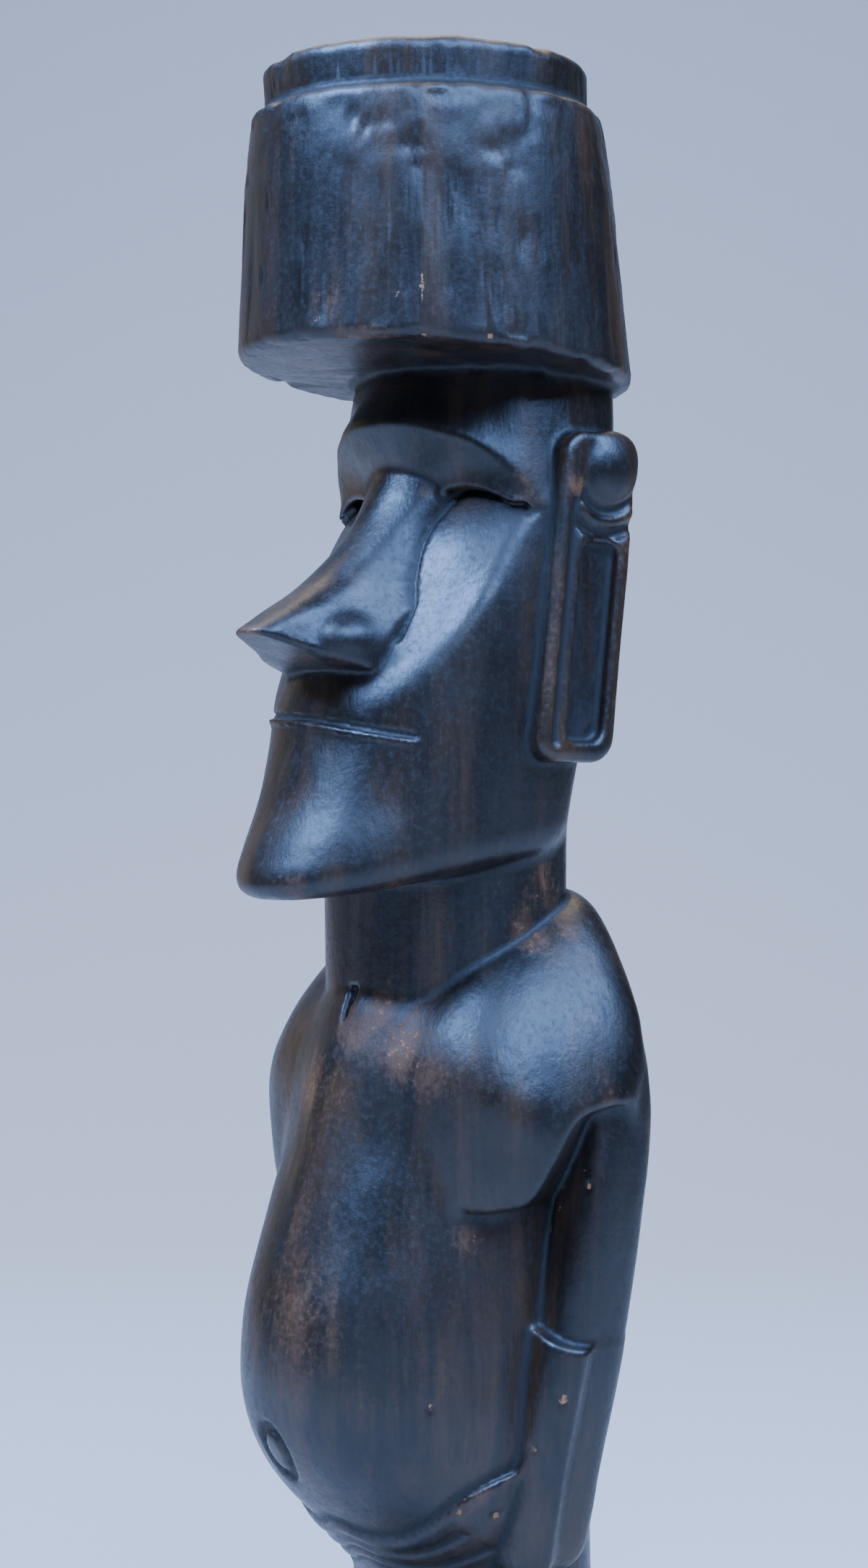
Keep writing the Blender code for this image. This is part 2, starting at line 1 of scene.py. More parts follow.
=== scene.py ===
"""Wooden moai statue, dressed: the carving at full detail in dark stained, waxed hardwood.

Lengths in the carving's formulas are millimetres; the mesh is in metres. The face looks toward -y.
"""

import math

import bpy
import numpy as np
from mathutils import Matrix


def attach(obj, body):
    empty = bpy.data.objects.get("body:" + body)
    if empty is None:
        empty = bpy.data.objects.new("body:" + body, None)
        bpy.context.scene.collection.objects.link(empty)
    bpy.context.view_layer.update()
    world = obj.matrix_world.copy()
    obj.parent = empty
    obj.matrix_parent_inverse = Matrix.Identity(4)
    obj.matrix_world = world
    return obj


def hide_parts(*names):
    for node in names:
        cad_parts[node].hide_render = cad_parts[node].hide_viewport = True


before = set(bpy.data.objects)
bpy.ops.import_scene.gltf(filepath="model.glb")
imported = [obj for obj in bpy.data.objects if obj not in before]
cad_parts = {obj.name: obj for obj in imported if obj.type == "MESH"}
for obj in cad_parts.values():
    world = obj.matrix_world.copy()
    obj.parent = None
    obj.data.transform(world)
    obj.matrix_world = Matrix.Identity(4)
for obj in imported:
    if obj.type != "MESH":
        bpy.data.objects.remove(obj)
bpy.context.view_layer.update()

# Lengths of the carving, in millimetres. The whole statue is HAT_TOP_Z high. Six are not the solid's:
# MOUTH_R, LIP_R, LIP_DROP and NOSE_SCROLL_R are finer here, SHOULDER_ROUND is softer and NOTCH_Y deeper.

# Hat: a leaning drum with a narrower tier on top, its underside tipped down at the front.
HAT_TOP_Z = 435.0
HAT_BOTTOM_Z = 357.0
HAT_STEP_Z = 421.0
HAT_BOTTOM_R = 48.8
HAT_TOP_R = 44.3
HAT_TIER_R = 40.0
HAT_LEAN = 0.04
HAT_TILT = 0.09
HAT_DOME = 0.0018
HAT_EDGE = 3.0
HAT_ROLL = 22.0
HAT_ROLL_IN = 1.2
HAT_TIER_SINK = 8.0
HAT_TIER_FILLET = 1.5

# Head block, as (height, size) stations: reach ahead of and behind its middle, half width, squareness.
HEAD_Y = 12.0
HEAD_LEAN = 0.11
HEAD_LEAN_Z = 330.0
HEAD_FRONT = [(225, 57), (240, 53.5), (250, 49.5), (262, 46.5), (280, 43.5), (300, 37), (312, 29),
              (325, 22), (335, 22), (350, 24.5), (370, 24)]
HEAD_BACK = [(225, 18), (250, 20), (290, 23), (345, 25.5), (370, 25)]
HEAD_HALF_WIDTH = [(225, 34), (250, 35.5), (280, 38), (310, 38.5), (340, 36.5), (370, 33)]
HEAD_SQUARENESS = [(225, 2.3), (270, 2.4), (320, 3.0), (370, 2.5)]
HEAD_BACK_SQUARENESS = 3.0
HEAD_INTO_HAT = 12.0
JAW_Z = 229.5
JAW_TILT = 0.17
JAW_TILT_Y = -40.0
JAW_EDGE = 9.0

# Face: a sloping cheek plane cut back under an arched brow.
CHEEK_Y = -13.0
CHEEK_Z = 326.0
CHEEK_SLOPE = 0.62
CHEEK_SWEEP = 0.45
CHEEK_BULGE = 2.6
CHEEK_BULGE_X = 23.0
CHEEK_BULGE_Z = 316.0
CHEEK_BULGE_REACH = 14.0
CHEEK_EDGE = 1.8
BROW_ARCH_Z = 327.0
BROW_ARCH_X = 20.0
BROW_ARCH_Y = -8.0
BROW_ARCH_DROP = 0.03
BROW_ARCH_RISE = 0.25
BROW_Y = [(0, -21.5), (10, -20), (18, -16), (28, -9), (34, -2.5), (38, 4)]
BROW_Z = [(0, 344), (10, 343.5), (18, 341.5), (28, 337), (34, 331), (40, 321)]
BROW_UNDER = 0.62
BROW_ABOVE = 0.75
BROW_EDGE = 2.0
FACE_GROOVE_R = 1.3

# Nose: (height, y) down its front, and (height, half width) of that front face.
NOSE_FRONT = [(284, -70), (290, -62.5), (295, -54), (302, -41.5), (310, -31), (318, -23), (326, -18),
              (334, -15)]
NOSE_HALF_WIDTH = [(284, 3), (290, 4.2), (295, 6), (302, 7.4), (310, 8.2), (318, 9.3), (326, 12),
                   (334, 15.5)]
NOSE_ROUND = 0.035
NOSE_FLARE = 0.42
NOSE_BASE_Z = 286.5
NOSE_BASE_TILT = 0.36
NOSE_BASE_Y = -45.0
NOSE_WING = (11.0, -35.0, 289.6)
NOSE_WING_R = (6.8, 9.4, 6.3)
NOSE_SCROLL_R = 0.7
NOSE_TOP_Z = 336.0

# Mouth: a fine slit, a little lower on the left, with a thin ledge under it.
MOUTH_Z = 271.4
MOUTH_DROOP = 0.0022
MOUTH_TILT = 0.10
MOUTH_HALF = 27.0
MOUTH_R = 0.75
LIP_R = 0.7
LIP_DROP = 1.2

# Ears: a leaning slab with a long sunk panel, a front line and a knob in two cups.
EAR_FRONT_Y = -2.5
EAR_BOTTOM_Z = 261.0
EAR_HEIGHT = 80.0
EAR_WIDTH = 24.0
EAR_LEAN = 0.12
EAR_CORNER = 6.0
EAR_EDGE = 2.6
EAR_OUT = 42.5
EAR_KNOB = (15.0, 71.5)
EAR_KNOB_R = 9.4
EAR_KNOB_OUT = 2.6
EAR_KNOB_SET = 3.0
EAR_CUPS = (10.6, 16.2)
EAR_CUP_R = (1.5, 1.9)
EAR_PANEL_U = (7.8, 19.6)
EAR_PANEL_V = (4.8, 53.5)
EAR_PANEL_DEEP = 2.8
EAR_PANEL_CORNER = 3.5
EAR_LINE_U = 4.6
EAR_LINE_R = 1.5
EAR_LINE_V = 34.0
EAR_LINE_HALF = 30.0

# Neck and the small notch under the throat.
NECK_Y = 8.0
NECK_HALF_WIDTH = 30.5
NECK_FRONT = 33.5
NECK_BACK = 17.0
NECK_INTO_HEAD = 25.0
NECK_INTO_BODY = 35.0
NOTCH_TOP_Z = 206.5
NOTCH_BOTTOM_Z = 196.0
NOTCH_Y = -24.4
NOTCH_SPREAD = 0.18

# Chest, belly and the plain column under it, as (height, size) stations.
CHEST_Y = 6.0
CHEST_HALF_WIDTH = [(140, 50), (165, 55), (185, 57.5), (200, 57.5), (212, 54), (225, 47), (240, 40)]
CHEST_FRONT = [(140, 33), (165, 34.5), (185, 34), (200, 31.5), (212, 30), (225, 29), (240, 28)]
CHEST_BACK = [(140, 26), (165, 28), (185, 28), (200, 27), (212, 26), (225, 26), (240, 24)]
SHOULDER_Z = 219.0
SHOULDER_TILT = 0.60
SHOULDER_FALL = 0.030
SHOULDER_FALL_X = 22.0
SHOULDER_ROUND = 16.0
CHEST_LINE = [(0, 161), (12, 158), (26, 155.5), (38, 154.5), (50, 155), (59, 158), (65, 167), (70, 176),
              (76, 179), (90, 176)]
CHEST_LINE_Y = -28.0
CHEST_LINE_TURN = 0.6
CHEST_BACK_Z = 138.0
CHEST_REAR_Y = 14.0
CHEST_EDGE = 1.6
CHEST_REAR_EDGE = 14.0
BREAST_FILLET = 12.0
BREAST_REACH = 15.0
BELLY_Y = 2.0
BELLY_TOP_Z = 205.0
BELLY_TOP_EDGE = 8.0
BELLY_HALF_WIDTH = [(50, 12), (58, 18), (66, 24.5), (74, 30.5), (84, 36), (95, 39), (120, 40), (150, 38),
                    (180, 35), (210, 30)]
BELLY_FRONT = [(50, 6), (58, 14), (66, 21.5), (74, 29.5), (84, 39.5), (95, 47.5), (108, 51.8), (125, 51.5),
               (150, 44), (180, 33), (210, 26)]
BELLY_BACK = [(50, 10), (58, 16), (70, 22), (90, 26), (120, 28), (150, 29), (180, 28), (210, 24)]
COLUMN_Y = 12.5
COLUMN_HALF_WIDTH = [(0, 32), (16, 30.5), (40, 29.5), (60, 29), (130, 28)]
COLUMN_DEPTH = [(0, 32), (16, 30), (40, 29), (60, 28), (100, 26), (130, 19)]
COLUMN_TOP_Z = 130.0
NAVEL_X = -5.5
NAVEL_Z = 95.0
NAVEL_R = (4.8, 6.2)
NAVEL_GROOVE_R = 1.3

# Arms: stations of middle x, middle y and half sizes. Hands: their upper and lower edges by x.
ARM_X = [(60, 32), (85, 36.5), (109, 41), (127, 43.5), (150, 45.5), (175, 46), (200, 43)]
ARM_Y = [(60, 8), (85, 7), (109, 8), (127, 10.2), (150, 13), (175, 16.5), (200, 17)]
ARM_HALF_X = [(60, 6.5), (85, 7.2), (109, 7.8), (127, 8.2), (150, 8.6), (175, 8.2), (200, 8.5)]
ARM_HALF_Y = [(60, 9), (85, 10), (109, 11), (127, 10.5), (150, 10), (175, 9.5), (200, 9)]
ARM_TOP_Z = 200.0
ARM_TOP_EDGE = 14.0
ARM_BOTTOM_Z = 64.0
ARM_BOTTOM_EDGE = 10.0
ELBOW_X = 38.0
ELBOW_Z = 127.0
ELBOW_SLOPE = 0.35
FOREARM_STEP = 2.8
FOREARM_AHEAD = 2.0
FOREARM_FADE = 5.0
HAND_TOP = [(0, 76.5), (8, 74.5), (18, 75), (28, 80.5), (38, 91), (50, 105)]
HAND_BOTTOM = [(0, 62), (8, 59.5), (18, 58), (28, 60), (38, 69), (50, 81)]
HAND_PROUD = 1.5
FINGERS = 4
FINGER_SPREAD = 0.9
FINGER_GROOVE_R = 0.9
FINGER_REACH = 30.0

# Low base under the column.
BASE_Y = 7.5
BASE_R = 46.0
BASE_HEIGHT = 16.0
BASE_EDGE = 4.0

# How the carved surface is sampled.
BLOCK_REACH = 2.0
SAMPLE_SHARE = 300000
PINCH_ROUNDS = 12
CUBE_FACES = [(0, 1, 2, 3), (4, 5, 6, 7), (0, 1, 4, 5), (2, 3, 6, 7), (0, 2, 4, 6), (1, 3, 5, 7)]
RELAX_ROUNDS = 3
CELL = 1.1
CARVE_LOW = (-64.0, -76.0, -4.0)
CARVE_HIGH = (64.0, 62.0, HAT_TOP_Z + 6.0)
MOST_TRIANGLES = 190000
FLAT_BELOW = 0.35
MM = 0.001

# Edges and hollows are told apart over EDGE_REACH. Marks fade out close to the underside.
EDGE_REACH = 2.2
SLOPE_STEP = 0.3
CHIP_DEPTH = 0.55
UNMARKED_BELOW_Z = 2.0
MARK_FADE = 6.0

# Tool marks wrap round the statue's axis, unrolled to one radius, and the column is scraped upright.
WRAP_R = 46.0
WRAP_INSIDE_R = 36.0
SCRAPE_BELOW_Z = 62.0
SCRAPE_FADE = 20.0

# Large primes that scatter the noise's lattice values.
HASH = (374761393, 668265263, 982451653, 1274126177)

# Places rubbed through to redder wood: middle (x, y, z), reach, strength.
RUBBED = [
    ((0.0, -64.0, 289.0), 8.0, 1.2),
    ((5.3, -44.9, 286.5), 5.0, 0.8),
    ((12.7, -39.8, 284.7), 5.0, 0.7),
    ((9.5, -52.5, 230.7), 9.0, 0.45),
    ((27.0, -31.6, 233.3), 9.0, 0.4),
    ((3.0, -25.4, 226.0), 11.0, 0.5),
    ((25.0, -12.8, 223.0), 6.0, 0.7),
    ((29.3, -3.0, 230.0), 6.0, 0.8),
    ((30.5, 9.1, 233.0), 7.0, 0.9),
    ((31.8, 2.9, 217.9), 8.0, 0.95),
    ((32.2, 14.5, 224.6), 6.0, 0.8),
    ((37.1, 12.3, 219.5), 6.0, 0.7),
    ((10.4, -26.9, 200.6), 8.0, 0.9),
    ((19.6, -25.5, 194.0), 12.0, 0.85),
    ((27.1, -24.9, 187.7), 10.0, 0.7),
    ((3.0, -30.0, 196.8), 10.0, 0.7),
    ((-8.2, -32.3, 182.0), 14.0, 0.7),
    ((-13.7, -34.8, 164.2), 16.0, 0.55),
    ((-12.6, -41.2, 147.0), 17.0, 0.45),
    ((2.9, -49.6, 123.8), 24.0, 0.5),
    ((26.2, -39.7, 112.3), 16.0, 0.35),
    ((34.3, -19.8, 148.6), 6.0, 0.55),
    ((33.1, -30.0, 117.2), 12.0, 0.4),
    ((42.5, 9.7, 327.3), 3.0, 0.9),
    ((12.1, -12.5, 326.7), 4.0, 0.7),
    ((13.7, -46.2, 371.0), 7.0, 0.6),
    ((25.0, -42.0, 352.0), 11.0, 0.6),
    ((-20.0, 38.0, 400.0), 14.0, 0.5),
    ((-34.0, 18.0, 180.0), 16.0, 0.5),
    ((0.0, 34.0, 205.0), 14.0, 0.5),
]

# Small chips that show pale wood: middle (x, y, z) and radius.
CHIPS = [
    ((31.1, -35.6, 395.4), 1.7),
    ((30.5, -37.3, 371.4), 1.3),
    ((34.9, -33.2, 371.6), 1.1),
    ((13.7, -46.2, 375.6), 2.2),
    ((12.6, -46.9, 365.3), 2.0),
    ((34.3, -31.9, 360.0), 1.0),
    ((44.2, -19.8, 360.4), 1.0),
    ((50.2, -2.5, 110.3), 1.8),
    ((43.7, -6.0, 98.3), 1.1),
    ((35.2, -10.5, 81.5), 1.3),
    ((32.7, -19.8, 83.2), 1.5),
    ((42.3, 4.8, 159.3), 1.2),
    ((38.5, 4.0, 148.6), 1.1),
    ((49.1, 5.5, 164.0), 1.0),
    ((50.5, 5.2, 160.1), 1.1),
    ((41.7, 3.9, 153.8), 1.2),
    ((35.2, -17.3, 148.5), 1.1),
    ((33.4, -19.6, 146.0), 1.0),
    ((-0.3, -50.2, 118.2), 0.9),
    ((33.6, -29.1, 109.5), 1.0),
    ((-30.0, 34.0, 382.0), 1.4),
    ((-46.0, 12.0, 132.0), 1.3),
]

# Dents cut across the hat: middle (x, y, z), half width, half height, depth.
DENTS = [
    ((31.8, -34.8, 397.2), 3.4, 1.6, 1.0),
    ((39.0, -26.1, 395.6), 6.5, 2.2, 0.9),
    ((39.2, -26.3, 389.4), 5.5, 1.6, 1.0),
    ((32.3, -33.7, 405.2), 4.0, 2.0, 0.8),
    ((43.1, -16.2, 404.7), 3.4, 2.2, 0.8),
    ((30.9, -37.0, 372.9), 3.6, 2.0, 1.2),
    ((34.0, -34.4, 367.2), 4.0, 1.8, 0.9),
    ((34.4, -33.9, 361.5), 3.0, 1.8, 0.9),
    ((20.0, -41.9, 412.9), 1.6, 2.4, 1.0),
    ((22.8, -40.6, 410.4), 1.5, 2.0, 0.9),
    ((43.9, -19.1, 374.4), 5.5, 1.5, 0.9),
    ((44.6, -18.2, 368.1), 5.0, 1.6, 0.9),
    ((45.8, -11.1, 384.0), 2.0, 3.0, 0.9),
    ((20.8, -42.5, 400.3), 1.6, 2.2, 0.7),
    ((28.0, -38.3, 393.5), 2.2, 2.0, 0.9),
    ((33.5, -34.1, 381.9), 2.4, 2.0, 0.8),
    ((46.6, -5.6, 385.7), 2.2, 3.0, 0.9),
    ((43.3, -18.6, 388.1), 2.6, 1.8, 0.8),
    ((14.5, -46.2, 369.4), 1.8, 4.5, 1.0),
    ((27.4, -39.1, 383.8), 2.0, 2.0, 0.7),
    ((-30.0, 34.0, 380.0), 4.0, 2.2, 0.9),
    ((-10.0, 44.0, 392.0), 3.0, 2.0, 0.8),
    ((-44.0, 8.0, 374.0), 3.0, 2.4, 0.9),
]

# Colours of the stained wood, as sRGB.
STAIN = "#140d09"
GRAIN = "#402a19"
CLOUD = "#1d140e"
PORE = "#0a0808"
RUBBED_WOOD = "#764a29"
FLECK = "#a56d3f"
BARE_WOOD = "#9c6840"
# Near black painted shade for grooves and hollows, not a colour of the wood.
HOLLOW_SHADE = "#070505"
BOARD_COLOUR = "#bdbab5"
SURROUND = "#dfe3ea"
SURROUND_STRENGTH = 0.08

# Camera, floor and backdrop, in metres and degrees. The sensor is in millimetres.
SENSOR = 36.0
EYE_DISTANCE = 0.782
EYE_Z = 0.2557
FRAME_ANGLE = 28.0
VIEW_TURN = 50.0
STAND_GAP = 0.0002
BOARD = 0.0002
FLOOR_REACH = 9.0
WALL_NEAR = 0.9
WALL_OVERLAP = 1.3
WALL_BEND = 1.2
WALL_TOP = 4.0
WALL_HALF_WIDTH = 1.1


def meet(a, b, fillet):
    """Nearer of two distances, with a fillet where they meet: two bodies joined."""
    h = np.maximum(fillet - np.abs(a - b), 0.0) / fillet
    return np.minimum(a, b) - h * h * fillet * 0.25


def cut(a, b, fillet):
    """Farther of two distances, with its edge rounded: what the two bodies share."""
    return -meet(-a, -b, fillet)


def ease(t):
    """Goes smoothly from 0 to 1 as t does, and stays level outside."""
    t = np.clip(t, 0.0, 1.0)
    return t * t * (3.0 - 2.0 * t)


def track(at, stations):
    """A smooth curve through (at, value) stations, level beyond both ends."""
    places = np.array([s[0] for s in stations], float)
    values = np.array([s[1] for s in stations], float)
    slopes = np.gradient(values, places)
    slopes[0] = 0.0
    slopes[-1] = 0.0
    at = np.clip(at, places[0], places[-1])
    i = np.clip(np.searchsorted(places, at, side="right") - 1, 0, len(places) - 2)
    span = places[i + 1] - places[i]
    t = (at - places[i]) / span
    rise = t * t * (3.0 - 2.0 * t)
    ends = t * (1.0 - t) * ((1.0 - t) * slopes[i] - t * slopes[i + 1]) * span
    return values[i] + (values[i + 1] - values[i]) * rise + ends


def oval(u, v, half_u, half_v, squareness):
    """Distance to |u / half_u|^n + |v / half_v|^n = 1, taken as value over slope."""
    a = np.abs(u) / half_u + 1e-6
    b = np.abs(v) / half_v + 1e-6
    total = a**squareness + b**squareness
    radius = total ** (1.0 / squareness)
    gain = total ** (1.0 / squareness - 1.0)
    slope = np.hypot(a ** (squareness - 1.0) / half_u, b ** (squareness - 1.0) / half_v) * gain
    return (radius - 1.0) / slope


def slab(ax, y, middle, half_width, front, back, front_square, back_square):
    """A cross section with its own reach and squareness ahead of and behind the middle."""
    ahead = y < middle
    reach = np.where(ahead, front, back)
    return oval(ax, y - middle, half_width, reach, np.where(ahead, front_square, back_square))


def egg(ax, y, z, centre, radii):
    """Distance to an ellipsoid, taken as value over slope."""
    a = (ax - centre[0]) / radii[0]
    b = (y - centre[1]) / radii[1]
    c = (z - centre[2]) / radii[2]
    value = np.sqrt(a * a + b * b + c * c) + 1e-9
    slope = np.sqrt((a / radii[0]) ** 2 + (b / radii[1]) ** 2 + (c / radii[2]) ** 2) + 1e-9
    return value * (value - 1.0) / slope


def rounded_box(u, v, low_u, high_u, low_v, high_v, corner):
    """Distance in the plane to a rectangle with round corners."""
    qu = np.abs(u - (low_u + high_u) / 2) - ((high_u - low_u) / 2 - corner)
    qv = np.abs(v - (low_v + high_v) / 2) - ((high_v - low_v) / 2 - corner)
    return np.hypot(np.maximum(qu, 0), np.maximum(qv, 0)) + np.minimum(np.maximum(qu, qv), 0) - corner


def hat(ax, y, z):
    """Tapered leaning drum, rolled in at the rim, with the tier standing on it."""
    radial = np.hypot(ax, y + HAT_LEAN * (z - HAT_BOTTOM_Z))
    taper = (HAT_BOTTOM_R - HAT_TOP_R) / (HAT_STEP_Z - HAT_BOTTOM_Z)
    drum = radial - (HAT_BOTTOM_R - taper * (z - HAT_BOTTOM_Z))
    roll = np.maximum(z - (HAT_STEP_Z - HAT_ROLL), 0.0) / HAT_ROLL
    drum = drum + HAT_ROLL_IN * roll * roll
    under = HAT_BOTTOM_Z - HAT_TILT * y - z
    body = cut(cut(drum, z - HAT_STEP_Z, HAT_EDGE), under, HAT_EDGE)
    tier = cut(radial - HAT_TIER_R, z - (HAT_TOP_Z - HAT_DOME * radial**2), HAT_EDGE)
    return meet(body, np.maximum(tier, HAT_STEP_Z - HAT_TIER_SINK - z), HAT_TIER_FILLET)


def head_block(ax, y, z):
    """The head before the face is cut: wide and shallow above, reaching far ahead at the chin."""
    middle = HEAD_Y + HEAD_LEAN * (z - HEAD_LEAN_Z)
    return slab(ax, y, middle, track(z, HEAD_HALF_WIDTH), track(z, HEAD_FRONT), track(z, HEAD_BACK),
                track(z, HEAD_SQUARENESS), HEAD_BACK_SQUARENESS)


def face(ax, y, z, block):
    """Head block with the brow added, the cheek plane cut and the nose standing on it."""
    y_brow = track(ax, BROW_Y)
    rise = z - track(ax, BROW_Z)
    brow = cut(y_brow + BROW_ABOVE * rise - y, y_brow - BROW_UNDER * rise - y, BROW_EDGE) * 0.75
    brow = cut(brow, ax - (track(z, HEAD_HALF_WIDTH) - 0.6), 3.0)
    full = meet(block, np.maximum(brow, y - HEAD_Y), 4.0)
    away = ((ax - CHEEK_BULGE_X) / CHEEK_BULGE_REACH) ** 2 + ((z - CHEEK_BULGE_Z) / CHEEK_BULGE_REACH) ** 2
    plane = CHEEK_Y - CHEEK_SLOPE * (CHEEK_Z - z) + CHEEK_SWEEP * ax - CHEEK_BULGE * np.exp(-away)
    behind = (plane - y) / np.sqrt(1.0 + CHEEK_SLOPE**2 + CHEEK_SWEEP**2)
    arch = BROW_ARCH_Z - BROW_ARCH_DROP * (ax - BROW_ARCH_X) ** 2 + BROW_ARCH_RISE * (y - BROW_ARCH_Y)
    over = arch - z
    carved = cut(full, meet(behind, over, 1.0), CHEEK_EDGE)
    bridge = nose(ax, y, z)
    groove = np.hypot(behind, np.minimum(np.maximum(bridge, 0.0), np.maximum(over, 0.0))) - FACE_GROOVE_R
    groove = np.maximum(groove, np.maximum(NOSE_WING[2] - z, -1.0 - over))
    carved = cut(carved, -groove, 0.8)
    return carved, meet(carved, bridge, 0.8)


def nose(ax, y, z):
    """Broad concave front face, sides flaring back, tilted underside, and a scrolled wing."""
    front = track(z, NOSE_FRONT)
    ahead = (front + NOSE_ROUND * ax**2 - y) * 0.62
    width = track(z, NOSE_HALF_WIDTH) + NOSE_FLARE * np.maximum(y - front, 0.0)
    side = (ax - np.minimum(width, NOSE_WING[0] + NOSE_WING_R[0])) * 0.9
    below = NOSE_BASE_Z - NOSE_BASE_TILT * (y - NOSE_BASE_Y) - z
    body = cut(cut(ahead, side, 2.4), below, 1.6)
    body = np.maximum(body, np.maximum(z - NOSE_TOP_Z, y))
    wing = egg(ax, y, z, NOSE_WING, NOSE_WING_R)
    scroll = np.hypot(wing, body) - NOSE_SCROLL_R
    body = cut(body, -np.maximum(scroll, y - NOSE_WING[1]), 0.8)
    return meet(body, cut(wing, below, 2.0), 2.5)


def mouth(x, ax, y, z, head, bare):
    """A fine slit, drooping to its corners and tilted a little, with a thin ledge under it."""
    line = MOUTH_Z - MOUTH_DROOP * x**2 - MOUTH_TILT * x
    end = np.maximum(ax - MOUTH_HALF, 0.0) + np.maximum(y - HEAD_Y, 0.0)
    lip = np.sqrt(bare**2 + (z - line + LIP_DROP) ** 2 + end**2) - LIP_R
    slit = np.sqrt(bare**2 + (z - line) ** 2 + end**2) - MOUTH_R
    return cut(meet(head, lip, 1.6), -slit, 0.8)


def ear(ax, y, z):
    """Slab on the side of the head, worked in its own leaning (u, v) sheet."""
    v = z - EAR_BOTTOM_Z
    u = y - (EAR_FRONT_Y + EAR_LEAN * v)
    out = ax - EAR_OUT
    plan = rounded_box(u, v, 0.0, EAR_WIDTH, 0.0, EAR_HEIGHT, EAR_CORNER)
    plate = cut(plan, out, EAR_EDGE)
    floor = -EAR_PANEL_DEEP - out
    panel = cut(rounded_box(u, v, *EAR_PANEL_U, *EAR_PANEL_V, EAR_PANEL_CORNER), floor, 1.5)
    plate = cut(plate, -panel, 1.2)
    line = np.maximum(np.hypot(u - EAR_LINE_U, out - 0.3) - EAR_LINE_R,
                      np.abs(v - EAR_LINE_V) - EAR_LINE_HALF)
    plate = cut(plate, -line, 1.0)
    ring = np.hypot(u - EAR_KNOB[0], v - EAR_KNOB[1])
    for radius, groove_r in zip(EAR_CUPS, EAR_CUP_R):
        groove = np.hypot(ring - radius, out - 0.2) - groove_r
        groove = np.maximum(groove, np.maximum(v - EAR_KNOB[1], EAR_LINE_U + EAR_LINE_R - u))
        plate = cut(plate, -groove, 0.8)
    middle = (EAR_OUT - EAR_KNOB_SET, EAR_KNOB[0], EAR_KNOB[1])
    knob = egg(ax, u, v, middle, (EAR_KNOB_SET + EAR_KNOB_OUT, EAR_KNOB_R, EAR_KNOB_R))
    return meet(plate, knob, 1.0)


def torso(x, ax, y, z):
    """Chest plate over a round belly, arms down the sides, hands meeting under the belly."""
    chest = slab(ax, y, CHEST_Y, track(z, CHEST_HALF_WIDTH), track(z, CHEST_FRONT),
                 track(z, CHEST_BACK), 2.3, 2.6) * 0.8
    top = z - (SHOULDER_Z + SHOULDER_TILT * y - SHOULDER_FALL * np.maximum(ax - SHOULDER_FALL_X, 0.0) ** 2)
    chest = cut(chest, top, SHOULDER_ROUND)
    line = track(ax + CHEST_LINE_TURN * (y - CHEST_LINE_Y), CHEST_LINE)
    rear = ease((y - CHEST_REAR_Y) / CHEST_REAR_Y)
    under = (line + (CHEST_BACK_Z - line) * rear - z) * 0.5
    chest = cut(chest, under, CHEST_EDGE + CHEST_REAR_EDGE * rear)
    belly = slab(ax, y, BELLY_Y, track(z, BELLY_HALF_WIDTH), track(z, BELLY_FRONT),
                 track(z, BELLY_BACK), 2.2, 2.6) * 0.85
    belly = cut(belly, z - BELLY_TOP_Z, BELLY_TOP_EDGE)
    body = meet(chest, belly, 2.0 + BREAST_FILLET * np.exp(-((ax / BREAST_REACH) ** 2)))
    body = meet(body, arm(ax, y, z), 1.6)
    body = meet(body, hand(ax, y, z, belly), 1.6)
    spread = np.hypot((x - NAVEL_X) / NAVEL_R[0], (z - NAVEL_Z) / NAVEL_R[1]) - 1.0
    ring = np.hypot(belly, spread * NAVEL_R[0]) - NAVEL_GROOVE_R
    body = cut(body, -np.maximum(ring, y), 0.8)
    column = slab(ax, y, COLUMN_Y, track(z, COLUMN_HALF_WIDTH), track(z, COLUMN_DEPTH),
                  track(z, COLUMN_DEPTH), 2.3, 2.3)
    return meet(body, np.maximum(column, z - COLUMN_TOP_Z), 3.0)


def arm(ax, y, z):
    """Flat-sided arm hanging from the shoulder, its forearm standing a step proud of it."""
    limb = oval(ax - track(z, ARM_X), y - track(z, ARM_Y), track(z, ARM_HALF_X),
                track(z, ARM_HALF_Y), 3.2)
    limb = cut(limb * 0.9, z - ARM_TOP_Z, ARM_TOP_EDGE)
    limb = cut(limb, ARM_BOTTOM_Z - z, ARM_BOTTOM_EDGE)
    proud = FOREARM_STEP * np.clip((track(z, ARM_Y) - FOREARM_AHEAD - y) / FOREARM_FADE, 0.0, 1.0)
    forearm = cut(limb - proud, z - (ELBOW_Z - ELBOW_SLOPE * (ax - ELBOW_X)), 1.0)
    return meet(limb, forearm, 0.8)


def hand(ax, y, z, belly):
    """A raised band on the belly from wrist to middle, grooved into fingers."""
    high = track(ax, HAND_TOP)
    low = track(ax, HAND_BOTTOM)
    band = cut(cut(belly - HAND_PROUD, z - high, 2.0), low - z, 2.0)
    for k in range(1, FINGERS):
        between = high + (low - high) * FINGER_SPREAD * k / FINGERS
        groove = np.hypot(belly - HAND_PROUD - 0.3, z - between) - FINGER_GROOVE_R
        groove = np.maximum(np.maximum(groove, ax - FINGER_REACH), y)
        band = cut(band, -groove, 0.8)
    return band


